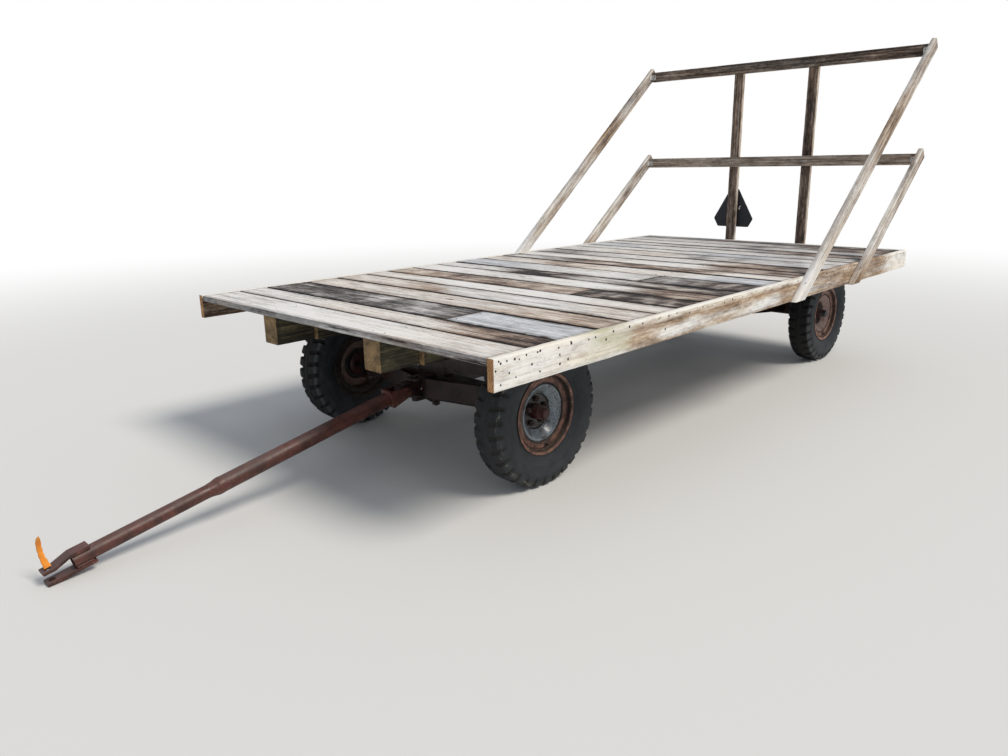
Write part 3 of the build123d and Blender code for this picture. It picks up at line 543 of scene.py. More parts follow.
deck_low, deck_high = corners_of("deck_planks")
spans, front = [], deck_low[1]
for nominal, _ in PLANKS:
    spans.append((front, min(front + WIDTHS[nominal], deck_high[1])))
    front = spans[-1][1] + GAP
draw = np.random.default_rng(4)
deck, bottom = [], deck_low[2]
for number, ((front, back), (_, words)) in enumerate(zip(spans, PLANKS)):
    words = words.split()
    lengths = [(deck_high[0], deck_low[0], words)]
    if number in JOINTS:
        lengths = [(deck_high[0], JOINTS[number] + JOINT_GAP / 2, words[:2]),
                   (JOINTS[number] - JOINT_GAP / 2, deck_low[0], words[2:])]
    for x1, x0, kinds in lengths:
        x1, x0 = x1 - draw.uniform(0, UNEVEN), x0 + draw.uniform(0, UNEVEN)
        y0, y1 = front + draw.uniform(0, UNEVEN), back - draw.uniform(0, UNEVEN)
        deep = deck_high[2] - bottom - draw.uniform(0, UNEVEN)
        seed = 100 + len(deck)
        looks = shades(kinds, seed, 0.8 if number else 0.12, 0.04 + 0.012 * number)
        deck.append(board(((x1, y0, bottom), (x1, y1, bottom)), ((x0, y0, bottom), (x0, y1, bottom)),
                          (0, 0, deep), seed, looks, 0.005))
join_boards("deck_boards", deck, weathered, "weathered_boards", "deck_planks")

# %% [markdown]
# ## Rails, timbers and rack
# The remaining wood is one board to each CAD part, with its length along the part's longest side. The
# left rail is bleached cream at its front and stained brown toward the rear, with a green tinge between;
# the braces are pale, the rack's cross rails and posts dark grey-brown.

# %% Rails
def box_board(name, seed, looks, worn):
    """A board that fills a CAD node's box, its length along the longest side."""
    lo, hi = corners_of(name)
    long, mid, thin = np.argsort(lo - hi)
    a, b, c, d = (lo.copy() for _ in range(4))
    b[mid] = d[mid] = hi[mid]
    c[long] = d[long] = hi[long]
    return board((a, b), (c, d), (hi - lo) * (np.arange(3) == thin), seed, looks, worn)


def band(value, low, high, soft):
    """1 between low and high, falling to 0 over soft on both sides."""
    half = soft / 2
    return fade(value, low - half, low + half) * fade(value, high + half, high - half)


def patches(seed, *axes):
    """Three octaves of noise read at the given coordinates."""
    return noise(np.stack(np.broadcast_arrays(*axes), -1), seed, 3)


CREST = 0.93, 0.97                          # where a rail's face turns into its bleached top edge


def rail_looks(t, across, through):
    """Bleached cream in front, then a brown stripe under a pale top edge, with peeled pale patches below
    it; brown all over between the braces and pale again behind them. t runs from front to rear."""
    rough = patches(61, t * 26, across * 2.2, 0.0)
    peel = np.clip(2.2 * patches(67, t * 26 * 0.55, across * 2.2 * 0.55, 0.0) + 0.55, 0, 1)
    peel = peel * band(across + 0.08 * rough, 0.16, 0.56, 0.12)
    stained = band(t + 0.02 * rough, 0.185, 0.915, 0.035)
    body = band(across + 0.04 * rough, -0.5, 0.84, 0.07)
    between = band(t, 0.62, 0.90, 0.05)
    brown = stained * np.maximum(body * (1 - peel), between * (0.85 + 0.3 * rough)).clip(0, 1)
    tone = 0.94 - 0.42 * brown - 0.06 * np.clip(rough, 0, 1) - 0.25 * fade(through, 0.25, 0)
    moss = 0.75 * band(t + 0.01 * rough, 0.12, 0.185, 0.03) * np.clip(0.4 + 0.9 * across + rough, 0, 1)
    return tone, 0.38 + 0.40 * brown - 0.30 * stained * peel, moss


def far_rail_looks(t, across, through):
    """The right rail: weathered tan outside, and darker on its inside face, which is painted shade under the
    deck.
    """
    crest = fade(across, *CREST)
    # Painted shade: the inner face, under the deck, is darkened.
    inside = fade(through, 0.3, 0.8) * (1 - crest)
    return 0.74 + 0.22 * crest - 0.42 * inside, 0.60 + 0.1 * inside - 0.3 * crest


def rear_looks(t, across, through):
    """The rear board: its top edge is bleached nearly white, its faces are greyer."""
    crest = fade(across, *CREST)
    rough = patches(68, t * 9, across, through)
    return 0.84 + 0.50 * crest + 0.1 * rough, 0.40 - 0.2 * crest + 0.2 * rough


def brace_looks(foot):
    """Bleached on its narrow front edge and duller on the wide face and toward the top. foot 0 gives a
    pale, cool foot and a brown patch above the middle, foot 1 a foot stained brown."""
    def looks(t, across, through):
        rough = patches(63, t * 9, across * 2, through)
        stain = foot * np.clip(1.3 - t / 0.22 + 0.6 * rough, 0, 1)
        front = fade(across, 0.08, 0.04)
        patch = (1 - foot) * (0.45 + 0.55 * front) * band(t + 0.06 * rough, 0.55, 0.76, 0.10)
        cool = (1 - foot) * band(t + 0.03 * rough, -1, 0.16, 0.08)
        tone = 0.80 + 0.16 * front + 0.16 * cool * (1 - front) - 0.26 * t - 0.42 * stain - 0.28 * patch
        return tone + 0.24 * rough, 0.46 - 0.12 * front - 0.30 * cool + 0.40 * np.maximum(stain, patch)
    return looks


def post_looks(t, across, through):
    """Dark on the wide faces, partly weathering and partly painted shade; the narrow side toward the wagon's
    left, where the sun falls, is pale, partly the pale wood itself and partly painted light.
    """
    # The narrow side toward the wagon's left is made paler: partly the wood's own tone, partly painted light
    # from the sun.
    pale_lit_side = fade(across, 0.965, 0.98)
    rough = patches(65, t * 8, across, through)
    return 0.30 + 0.12 * rough + 0.38 * pale_lit_side, 0.45 + 0.3 * rough + 0.1 * pale_lit_side


def rack_rail_looks(tone):
    """A rack rail: darker toward the wagon's left end and stained here and there."""
    def looks(t, across, through):
        rough = patches(66, t * 9, across, through)
        return tone - 0.16 * fade(t, 0.5, 1) + 0.12 * rough, 0.30 + 0.4 * rough
    return looks


def timber_looks(tone, warm):
    """A timber under the deck: darkened all along by its low tone, which is painted shade from the deck, and
    paler at its ends, painted light where light reaches it.
    """
    return lambda t, across, through: (tone + 0.25 * fade(np.minimum(t, 1 - t), 0.03, 0), warm)


# Wood, slot, what a piece's name ends in, how worn its corners are, then the nodes with their seeds
for timber, slot, ending, worn, rows in (
        (rail_wood, "side_rail_wood", "_board", 0.004,
         (("side_rail_left", 45, rail_looks), ("side_rail_right", 46, far_rail_looks))),
        (rail_wood, "weathered_boards", "_board", 0.004, (("rear_board", 57, rear_looks),)),
        (treated, "treated_timber", "_sawn", 0.003,
         # The timbers' low tones are painted shade under the deck.
         (("timber_left", 82, timber_looks(0.22, 0.4)), ("timber_right", 83, timber_looks(0.20, 0.5)),
          ("doubling_board_left", 90, timber_looks(0.28, 0.3)),
          ("doubling_board_right", 91, timber_looks(0.24, 0.5)))),
        (rack_wood, "rack_wood", "_sawn", 0.004,
         (("rack_post_left", 80, post_looks), ("rack_post_right", 81, post_looks),
          ("rack_rail_top", 82, rack_rail_looks(0.36)), ("rack_rail_middle", 83, rack_rail_looks(0.57))))):
    for name, seed, looks in rows:
        join_boards(name + ending, [box_board(name, seed, looks, worn)], timber, slot, name)

# %% Braces
def brace_board(name, seed, looks):
    """A leaning brace: its foot is cut level and its top square, so the cut lines come from the node."""
    mesh = frame["nodes"][name].data
    co = np.zeros(len(mesh.vertices) * 3)
    mesh.vertices.foreach_get("co", co)
    co = co.reshape(-1, 3)
    lo, hi = co.min(0), co.max(0)
    foot = co[np.isclose(co[:, 2], lo[2], atol=1e-5)]
    points = (foot[foot[:, 1].argmin()], foot[foot[:, 1].argmax()],
              co[co[:, 2].argmax()], co[co[:, 1].argmax()])
    front, back, crest, heel = ((lo[0], *point[1:]) for point in points)
    return board((front, back), (crest, heel), (hi[0] - lo[0], 0, 0), seed, looks)


for k, name in enumerate(("brace_tall_left", "brace_short_left", "brace_tall_right", "brace_short_right")):
    one = brace_board(name, 90 + k, brace_looks(1.0 if "short" in name else 0.0))
    join_boards(name + "_sawn", [one], brace_wood, "side_rail_wood", name)

# %% [markdown]
# ## Tyres
# The tyres are cross-ply lug tyres: 32 blocks stand on each shoulder, staggered side to side, with deep
# grooves between them that run out onto the sidewall, and a worn zigzag rib down the middle. A tyre is a
# grid: one direction follows the section from bead to bead, the other goes round. The grid's lines are
# laid along the groove edges, so the blocks come out sharp without more points.

# %% Tyre shape
PITCHES = 32
# Half the section from the tread's middle to the bead, (across, radius) in mm
HALF_SECTION = np.array(((0, 390), (50, 389.5), (74, 386), (85, 372), (89.5, 350), (92.5, 322), (91.5, 295),
                         (86, 268), (76, 244), (66.8, 227), (65, 219), (62.5, 210), (60, 204.5))) / 1000
# Where the grid's lines lie: along the half section, and round within a pitch
STATIONS = np.array((0, 8, 12, 14, 18, 20, 25, 27, 36, 46, 56, 64, 71, 77, 82, 87, 92, 98, 105, 112, 119, 126,
                     134, 143, 153, 164, 175, 186, 196, 206, 216, 224)) / 1000
COLUMNS = np.array((0, 0.14, 0.2, 0.25, 0.3, 0.36, 0.5, 0.64, 0.7, 0.75, 0.8, 0.86))
GROOVE_TOP, GROOVE_FLOOR = 0.2, 0.14        # half widths of a groove, as a share of a pitch
SKEW = np.tan(np.radians(12))
LUG_START, LUG_END = (0.0255, 0.0275), (0.128, 0.106)      # where the grooves begin and run out
RIB_AT, ZIGZAG = 0.016, 0.006               # the groove beside the middle rib, and how far it swings
WORN, CHIPPED, UNLIKE = 0.0012, 0.0035, 0.0007      # depth of wear and chips, difference between lugs


def rounded(points, rounds=3, share=0.25, closed=False):
    """A line with its corners cut: each side keeps the points at share and 1 - share of its length. An
    open line also keeps its ends."""
    line = np.array(points, float)
    for _ in range(rounds):
        here, after = (line, np.roll(line, -1, axis=0)) if closed else (line[:-1], line[1:])
        cut = np.stack((here * (1 - share) + after * share, here * share + after * (1 - share)), 1)
        cut = cut.reshape(-1, line.shape[1])
        line = cut if closed else np.concatenate((line[:1], cut, line[-1:]))
    return line


def wheel_place(node_name):
    """The middle of a wheel's part, and its side: 1 left, -1 right."""
    lo, hi = corners_of(node_name)
    return (lo + hi) / 2, np.sign(lo[0])


def tyre(name, depth, seed):
    """A lugged tyre in its wheel's place; depth is how deep the grooves still are, in metres.

    A point of the section (a across, r from the axle) moves in along its normal by
    depth * groove(angle) * reach(s), where s is the length along the section from the tread's middle.
    """
    centre, side = wheel_place("tyre_" + name)
    line = rounded(HALF_SECTION)
    run = run_of(line)
    s = STATIONS * run[-1] / STATIONS[-1]
    a, r = np.interp(s, run, line[:, 0]), np.interp(s, run, line[:, 1])
    s, a, r = (np.concatenate((sign * v[:0:-1], v)) for sign, v in ((-1, s), (-1, a), (1, r)))
    na, nr = -np.gradient(r, s), np.gradient(a, s)
    phase = (np.arange(PITCHES)[:, None] + COLUMNS).ravel()
    S, P = np.meshgrid(s, phase, indexing="ij")
    A, R, NA, NR = (np.broadcast_to(v[:, None], S.shape) for v in (a, r, na, nr))
    far = np.abs(S)
    offset = np.where(S > 0, 0.5, 0.0)
    near = np.abs((P - offset + 0.5) % 1 - 0.5)
    groove = fade(near, GROOVE_TOP, GROOVE_FLOOR)
    draw = np.random.default_rng(seed)
    rough = draw.uniform(-1, 1, (PITCHES + 2, 2))
    uneven = rough[np.floor(P - offset).astype(int) % PITCHES, (S > 0).astype(int)]
    reach = fade(far, *LUG_START) * fade(far, *LUG_END)
    lift = groove * reach
    zig = np.abs((P * 2) % 2 - 1) - 0.5
    shift = ZIGZAG * zig * fade(np.abs(far - 0.015), 0.012, 0)
    rib = fade(np.abs(far - RIB_AT), 0.0035, 0)
    turn = 2 * np.pi * P / PITCHES - SKEW * (np.minimum(np.abs(A), 0.088) - 0.0575) / R
    spot = np.stack((np.cos(turn) * R, np.sin(turn) * R, A), -1).reshape(-1, 3)
    wear = noise(spot * 14, seed).reshape(S.shape) * 0.5 + 0.5
    chip = noise(spot * 60, seed + 3, 1).reshape(S.shape).clip(0.2, 1) - 0.2
    on_tread = fade(far, 0.1, 0.08)
    crown = fade(far, 0.082, 0.074)
    sink = depth * lift + 0.4 * depth * rib * on_tread + on_tread * (1 - lift) * (
        WORN * wear + CHIPPED * chip + UNLIKE * (1 + uneven))
    across, out = A + np.sign(S) * shift - NA * sink, R - NR * sink
    verts = np.stack((across * side, np.cos(turn) * out, np.sin(turn) * out), -1).reshape(-1, 3) + centre
    faces = ring_faces(len(s), len(phase), closed=True)
    tread = np.stack((np.cos(turn) * R, np.sin(turn) * R, S), -1).reshape(-1, 3)
    marks = np.stack((lift, crown, far * 10), -1).reshape(-1, 3)
    if side > 0:
        faces = faces[:, ::-1]
    return mesh_object("tyre_" + name + "_lugged", verts, [faces], ring=tread, marks=marks)


# %% [markdown]
# Old tyre rubber is not black: it fades to a dusty charcoal, darker and earthy down in the grooves, with fine
# rings round the sidewall from the mould and pale scuffs. The lugs' ends on the shoulder are painted greyer,
# a painted highlight where the sun catches them.

# %% Rubber
def rubber(name, side_low, side_high, top_low, top_high, soil, scuff, edged):
    """Faded tyre rubber; soil lies in the grooves and scuff is how much of the shoulder is scraped pale. The
    last argument is how grey the lugs' ends there are painted, a painted highlight where the sun catches
    them."""
    material, add = finish(name, 0.78)
    place, marks = (add("Attribute", out="Vector", attribute_name=layer) for layer in ("ring", "marks"))
    groove, tread, far = add("SeparateXYZ", marks, out="all")
    shoulder = add("Math", add("MapRange", far, 0.70, 0.80), add("MapRange", far, 1.06, 0.92), **TIMES)
    rings = pattern(add, place, (0.5, 0.5, 0.0028), 3, 0.6)
    dust = pattern(add, place, (0.09, 0.09, 0.05), 6, 0.62)
    grit = pattern(add, place, (0.004, 0.004, 0.004), 3, 0.6)
    worked = centred(add, rings, 0.5, centred(add, grit, 0.45, dust))
    wall = add("ValToRGB", worked, stops=((0.25, side_low), (0.8, side_high)))
    top = add("ValToRGB", worked, stops=((0.25, top_low), (0.85, top_high)))
    face = add("Mix", tread, wall, top, **COLOURS)
    scraped = pattern(add, place, (0.05, 0.05, 0.012), 5, 0.7, 0.4)
    # Painted highlight: the lugs' ends on the shoulder are painted grey where the sun catches them, in
    # patches.
    ends = add("Math", shoulder, add("MapRange", scraped, 0.35, 0.6, edged * 0.4, edged), **TIMES)
    face = add("Mix", ends, face, colour("#63686b"), **COLOURS)
    earth = add("ValToRGB", dust, stops=((0.3, "#070707"), (0.85, soil)))
    face = add("Mix", groove, face, earth, **COLOURS)
    amount = add("Math", add("MapRange", scraped, 0.54, 0.70, 0.0, scuff), shoulder, **TIMES)
    face = add("Mix", amount, face, colour("#a49c88"), **COLOURS)
    coat(material, centred(add, rings, 0.7, add("Math", grit, 0.6, **TIMES)), 0.35, Base_Color=face)
    return material


worn_rubber = rubber("scuffed faded rubber", "#14171a", "#2f3337", "#121417", "#2c2e30", "#2b2823", 1.0, 0.1)
# The tread of these three tyres is painted nearly black: painted shade.
rubber_with_shaded_tread = rubber("faded charcoal rubber", "#131518", "#373b3f", "#030303", "#0d0c0c", "#0a0908",
                      0.1, 0.5)
# The first corner, front left, has the most worn tyre
CORNERS = ("front_left", "front_right", "rear_left", "rear_right")
for k, name in enumerate(CORNERS):
    depth, coating = (0.018, rubber_with_shaded_tread) if k else (0.0085, worn_rubber)
    dress(tyre(name, depth, 200 + k), coating, "wheel_" + name, "tyre", "tyre_" + name)

# %% [markdown]
# ## Steel wheels
# Pressed steel wheels: a rolled rim with a drop centre, and a dished disc with a recess for the hub and
# its nuts. Both are turned from a section with rounded bends. A slow wave pushes the rim's flange in and
# out by a millimetre, as old wheels have.

# %% Turned shapes
FLANGE = 0.19, 0.22                         # radii between which the rim's dents grow to their full size


def turned(name, line, centre, side, columns=128, dent=0.0, seed=1):
    """A closed section, a line of (across, radius) points, turned about the axle through centre."""
    line = rounded(line, 2, 0.2, closed=True)
    a, r = line.T
    cos, sin = circle(columns)
    wave = dent * noise(np.stack((cos, sin, np.full(columns, seed)), -1) * 1.7, seed)
    A = a[:, None] + wave * fade(r[:, None], *FLANGE) * np.sign(a[:, None])
    y, z, run = np.broadcast_arrays(cos * r[:, None], sin * r[:, None], run_of(line)[:, None])
    faces = ring_faces(len(a), columns, closed=True)
    if (np.sum(a * np.roll(r, -1) - np.roll(a, -1) * r) > 0) == (side > 0):
        faces = faces[:, ::-1]
    # The last layer marks the half of the wheel toward the wagon, which painted() darkens as painted shade.
    return mesh_object(name, np.stack((A * side, y, z), -1).reshape(-1, 3) + centre, [faces],
                       ring=np.stack((y, z, run), -1).reshape(-1, 3),
                       inner=fade(A, 0.005, -0.005).reshape(-1, 1))


# Half of the rim's section from its middle, (across, radius) in mm: under the tyre out to the flange, then
# back along the side that shows, down the drop centre's wall, where the valve sits
RIM_HALF = np.array(((0, 160), (34, 160), (38.5, 162.5), (40.5, 170), (42.5, 190), (44, 200.5), (48, 203),
                     (61, 203), (65, 210), (67, 218), (69, 219), (71, 218), (70.8, 211), (68, 206), (69, 202),
                     (66, 199.2), (56, 197.5), (50, 196.8), (45.5, 194.5), (44, 190), (47, 185), (46, 172),
                     (43.5, 161), (41, 156.8), (34, 155.2), (0, 155))) / 1000
RIM = np.concatenate((RIM_HALF, RIM_HALF[-2:0:-1] * (-1, 1)))
# A flange welded in the drop centre, a rounded shoulder, a cone down to the bolted middle, and back
DISC = np.array(((12, 156.2), (33, 156), (39, 153.5), (41.2, 149), (41.2, 143), (39, 138), (11, 104),
                 (4, 97.5), (1, 94.5), (-5, 92.5), (-6, 88), (-6, 39.5), (-12, 39.5), (-12, 94), (-4, 98.5),
                 (4, 104), (34.5, 140), (36.2, 145), (35, 149), (31, 150.8), (12, 151))) / 1000

# %% [markdown]
# The steel is painted once, long ago. What is left is a dusty pinkish brown that rust shows through;
# the front left disc has lost its paint and is a smooth blue-grey that still shines.

# %% Painted steel
MIDDLE, MIDDLE_SOFT = 0.0935, 0.003         # where the disc's cone ends, and how soft that border is
CREASE_SHADE_FROM, CREASE_SHADE_TO = 0.09, 0.22
# Painted shade by distance from the axle, as (share of that span, shade): in the seam between disc and rim,
# on the way down from the flange and behind its rolled lip, the creases where shade falls
CREASE_SHADE = ((0.0, "#ffffff"), (0.44, "#ffffff"), (0.48, "#6a5f58"), (0.54, "#4a403a"), (0.58, "#e0dcd8"),
        (0.72, "#ffffff"), (0.79, "#8a7f78"), (0.83, "#4e443e"), (0.87, "#8e837c"), (0.91, "#ffffff"),
        (1.0, "#ffffff"))


def painted(name, paint, rust, bare, roughness=0.6, worn=0.5, size=0.05, dust="#8c7b6a", dusty=0.35,
            middle=None, shade_in_creases=0.0):
    """Old paint: patches of rust show through it, scraped spots are bare and dust lies on level faces.
    The last argument is how strongly painted shade darkens a wheel's creases and its side toward the wagon,
    and is 0 off the wheels; middle is the colour inside the disc's cone, within MIDDLE metres of the axle."""
    material, add = finish(name, roughness)
    if shade_in_creases:
        place = add("Attribute", out="Vector", attribute_name="ring")
    else:
        place = add("TexCoord", out="Object")
    patch = pattern(add, place, (size,) * 3, 6, 0.65, 0.3)
    fine = pattern(add, place, (0.006,) * 3, 4, 0.65)
    scrape = pattern(add, place, (size * 0.3,) * 3, 5, 0.7)
    mottled = centred(add, fine, 0.5, patch)
    rusty = add("MapRange", mottled, 0.62 - worn * 0.35, 0.74 - worn * 0.25)
    face = add("Mix", rusty, colour(paint), colour(rust), **COLOURS)
    if shade_in_creases:
        out = add("VectorMath", add("VectorMath", place, (1.0, 1.0, 0.0), **TIMES), operation="LENGTH")
        if middle:
            within = add("MapRange", out, MIDDLE + MIDDLE_SOFT, MIDDLE)
            face = add("Mix", within, face, colour(middle), **COLOURS)
        # Painted shade in the wheel's creases: darker in the seam between disc and rim and below the flange.
        crease_shade_at = centred(add, scrape, 0.06, add("MapRange", out, CREASE_SHADE_FROM, CREASE_SHADE_TO))
        face = add("Mix", shade_in_creases, face, add("ValToRGB", crease_shade_at, stops=CREASE_SHADE), **DARKEN)
        # The half of the wheel toward the wagon is darkened: painted shade under the wagon.
        inner = add("Attribute", out="Fac", attribute_name="inner")
        face = add("Mix", inner, face, colour("#4a4038"), **DARKEN)
    shade = add("ValToRGB", centred(add, fine, 0.7, scrape), stops=((0.2, "#6e6e6e"), (0.7, "#ffffff")))
    face = add("Mix", 1.0, face, shade, **DARKEN)
    scraped = add("MapRange", centred(add, fine, 0.4, scrape), 0.66, 0.76)
    face = add("Mix", scraped, face, colour(bare), **COLOURS)
    up = add("SeparateXYZ", add("NewGeometry", out="Normal"), out="Z")
    lying = add("MapRange", up, 0.3, 0.95, 0.0, dusty)
    lying = add("Math", lying, add("MapRange", patch, 0.3, 0.6), **TIMES)
    face = add("Mix", lying, face, colour(dust), **COLOURS)
    rough = add("MapRange", mottled, 0.3, 0.8, roughness - 0.12, min(roughness + 0.2, 0.95))
    coat(material, mottled, deep=0.0008, Base_Color=face, Roughness=rough)
    return material


rim_brown = painted("rusty brown rim paint", "#996c58", "#57382b", "#b49080", 0.6, 0.5, shade_in_creases=1.0)
rim_pink = painted("rusty pink rim paint", "#b38875", "#70493a", "#c8aa9d", 0.62, 0.4, shade_in_creases=0.9)
disc_pink = painted("dusty pink disc paint", "#a88c82", "#745548", "#bda9a1", 0.62, 0.25, middle="#5a423a",
                    shade_in_creases=0.6)
disc_blue = painted("worn blue-grey disc paint", "#88939b", "#3a3432", "#c6ced4", 0.24, 0.35, 0.045,
                    dusty=0.1, middle="#45332e", shade_in_creases=0.6)
for k, name in enumerate(CORNERS):
    wheel = "wheel_" + name
    centre, side = wheel_place(wheel)
    rim = turned("rim_" + name, RIM, centre, side, 160, 0.0012, 300 + k)
    dress(rim, rim_pink if k else rim_brown, wheel, "wheel_steel", wheel)
    dress(turned("disc_" + name, DISC, centre, side), disc_pink if k else disc_blue, wheel, "wheel_steel")

# %% [markdown]
# ## Hubs and nuts
# Each disc is held by five nuts on the hub's studs, and a pressed cap closes the hub. A nut is a section
# turned in six steps, which makes a hexagon with chamfered corners.

# %% Hubs
def turned_parts(line, columns, places):
    """Copies of a turned section at places (n, 3), as (verts, quads)."""
    a, r = line.T[..., None]
    cos, sin = circle(columns)
    one = np.stack(np.broadcast_arrays(a, cos * r, sin * r), -1).reshape(-1, 3)
    faces = ring_faces(len(a), columns, closed=True)[:, ::-1]
    starts = np.arange(len(places)) * len(one)
    return (one + np.array(places)[:, None]).reshape(-1, 3), (faces + starts[:, None, None]).reshape(-1, 4)


def joined(name, parts, side=1, smooth=True):
    """Parts of (verts, faces), worked out for the left side, as one object; side -1 mirrors it in X."""
    starts = np.cumsum([0] + [len(v) for v, _ in parts])
    verts = np.concatenate([v for v, _ in parts]) * (side, 1, 1)
    faces = np.concatenate([f + n for (_, f), n in zip(parts, starts)])
    return mesh_object(name, verts, [faces if side > 0 else faces[:, ::-1]], smooth)


TINY = 0.4                                  # radius in mm of the hole where a closed end meets the axis
NUT, STUD, NOSE, CAP, VALVE = (np.array(line) / 1000 for line in (
    ((0, 16), (14, 16), (17.5, 13.8), (17.5, 8), (11, 8), (0, 8)),
    ((0, 7.6), (23, 7.6), (25, 6), (25, TINY), (0, TINY)),
    ((-22, 70), (-13, 71.2), (-12.2, 40), (-10, 38.5), (33, 38.5), (36, 36.5), (36.5, 31), (36.5, TINY),
     (-22, TINY)),
    ((34, 30), (40, 31), (41, 28.8), (64, 28.5), (69, 26.5), (72, 21.5), (73, 12), (73.5, TINY), (34, TINY)),
    ((0, 9.5), (2, 9.5), (3.5, 7), (10, 5), (20, 4.5), (21, 3.5), (21, TINY), (0, TINY))))
NUTS, BOLT_CIRCLE, BOLT_SEAT = 5, 0.067, -0.006
LEDGE, VALVE_AT = 0.0455, 0.176             # drop centre's wall from the middle plane; the valve's radius
VALVE_TURN = np.radians(-84)
red_hub = painted("dark red hub paint", "#4a1510", "#26110d", "#5d3a30", 0.5, 0.35, 0.03)
black_hub = painted("greasy black hub steel", "#151312", "#0d0b0a", "#332c28", 0.42, 0.3, 0.03, dusty=0.15)
nut_steel = painted("rusty nut steel", "#4a332a", "#261914", "#7b6a60", 0.55, 0.4, 0.01)
valve_rubber = painted("black valve rubber", "#141414", "#0c0c0c", "#2a2a2a", 0.7, 0.2, 0.005, dusty=0.05)
for k, name in enumerate(CORNERS):
    centre, side = wheel_place("wheel_" + name)
    middle = centre * (side, 1, 1)
    spin = np.radians(18 + 31 * k) + np.arange(NUTS) * 2 * np.pi / NUTS
    seats = np.stack((np.full(NUTS, BOLT_SEAT), BOLT_CIRCLE * np.cos(spin), BOLT_CIRCLE * np.sin(spin)), -1)
    seats += middle
    stem = middle + (LEDGE, VALVE_AT * np.cos(VALVE_TURN), VALVE_AT * np.sin(VALVE_TURN))
    for word, parts, smooth, coating, slot, *nodes in (
            ("hub_nose_", [(NOSE, 48, [middle])], True, red_hub, "rusty_steel", "hub_" + name),
            ("hub_cap_", [(CAP, 40, [middle])], True, black_hub if k else red_hub, "rusty_steel"),
            ("wheel_nuts_", [(NUT, 6, seats), (STUD, 16, seats)], False, nut_steel, "rusty_steel"),
            ("valve_", [(VALVE, 20, [stem])], True, valve_rubber, "tyre")):
        piece = joined(word + name, [turned_parts(*part) for part in parts], side, smooth)
        dress(piece, coating, "wheel_" + name, slot, *nodes)

# %% [markdown]
# ## Rear sign
# A slow-vehicle sign, drawn blank: a triangle of pressed sheet with its corners cut off, orange inside a
# dark red border behind and plain navy in front. Its outline is shrunk toward its middle in steps, and
# the middle lies a millimetre deeper than the border, which shows as a fold from both sides.

# %% Sign
def box_part(lo, hi):
    """A box between two corners, as (verts, faces)."""
    x, y, z = zip(lo, hi)
    verts = np.array([(a, b, c) for a in x for b in y for c in z])
    faces = ((0, 1, 3, 2), (4, 6, 7, 5), (0, 4, 5, 1), (2, 3, 7, 6), (0, 2, 6, 4), (1, 5, 7, 3))
    return verts, np.array(faces)


def outward(piece):
    """Turns the faces of a closed shape outward."""
    made = bmesh.new()
    made.from_mesh(piece.data)
    bmesh.ops.recalc_face_normals(made, faces=made.faces)
    made.to_mesh(piece.data)
    made.free()
    return piece


def eased(p, reach):
    """A closed outline whose corners p become curves (1-t)^2 a + 2t(1-t) p + t^2 b, where a and b lie
    reach before and after the corner."""
    to = unit(np.roll(p, -1, 0) - p)
    a, b = p - np.roll(to, 1, 0) * reach, p + to * reach
    t = np.linspace(0, 1, 5)[:, None]
    return ((1 - t) ** 2 * a[:, None] + 2 * t * (1 - t) * p[:, None] + t ** 2 * b[:, None]).reshape(-1, 2)


CUT, ROUND, HEART = 0.089, 0.010, 0.42      # cut corners, their rounding, the middle's share of the height
SPACER_HALF, SPACER_FROM, SPACER_TO = 0.02, 0.06, 0.2       # its half width, its ends above the sign's foot
sign_low, sign_high = corners_of("rear_sign")
sheet_back, sheet_front = sign_high[1], sign_high[1] - 0.002
half, tall = (sign_high[0] - sign_low[0]) / 2, CUT * np.sin(np.pi / 3)
mid_x = sign_low[0] + half
corners = np.array(((CUT / 2, sign_high[2]), (half, sign_low[2] + tall), (half - CUT / 2, sign_low[2])))
outline = eased(np.concatenate((corners, corners[::-1] * (-1, 1))), ROUND) + (mid_x, 0)
heart = np.array((mid_x, sign_low[2] + (sign_high[2] - sign_low[2]) * HEART))
# Share of the outline, y, and what colour the band up to the next ring has: 1 orange, 0.5 border, 0 navy
STEPS = ((0.05, -0.0012, 1), (0.60, -0.0012, 1), (0.625, 0, 0.5), (0.990, 0, 0.5), (1.0, -0.0003, 0),
         (1.0, -0.0006, 0), (0.990, -0.0008, 0), (0.625, -0.0008, 0), (0.60, -0.002, 0), (0.05, -0.002, 0))
share, deep, paint = np.array(STEPS).T
flat = heart + (outline - heart) * share[:, None, None]
rings, around = flat.shape[:2]
y = sheet_back + deep
verts = np.stack(np.broadcast_arrays(flat[..., 0], y[:, None], flat[..., 1]), -1).reshape(-1, 3)
verts = np.concatenate((verts, [(heart[0], y[k], heart[1]) for k in (0, -1)]))
total = rings * around
tips = [fan(total, 0, around), fan(total + 1, total - around, around)]
layer = np.concatenate((np.repeat(paint[:-1], around), np.ones(around), np.zeros(around)))
plate = mesh_object("rear_sign_plate", verts, [ring_faces(rings, around), *tips], False,
                    face_paint=layer[:, None])
sign_paint, add = finish("faded sign enamel", 0.45)
painted_as = add("Attribute", out="Fac", attribute_name="face_paint")
place = add("TexCoord", out="Object")
faded = centred(add, pattern(add, place, (0.004,) * 3, 3), 0.5, pattern(add, place, (0.06,) * 3, 6, 0.68))
navy = add("ValToRGB", faded, stops=((0.3, "#0d1118"), (0.7, "#1c2330")))
border = add("ValToRGB", faded, stops=((0.3, "#661115"), (0.7, "#8f302a")))
orange = add("ValToRGB", faded, stops=((0.3, "#d9501f"), (0.75, "#f0905a")))
face = add("Mix", add("MapRange", painted_as, 0.2, 0.3), navy, border, **COLOURS)
face = add("Mix", add("MapRange", painted_as, 0.7, 0.8), face, orange, **COLOURS)
coat(sign_paint, Base_Color=face, Roughness=add("MapRange", faded, 0.3, 0.7, 0.36, 0.6))
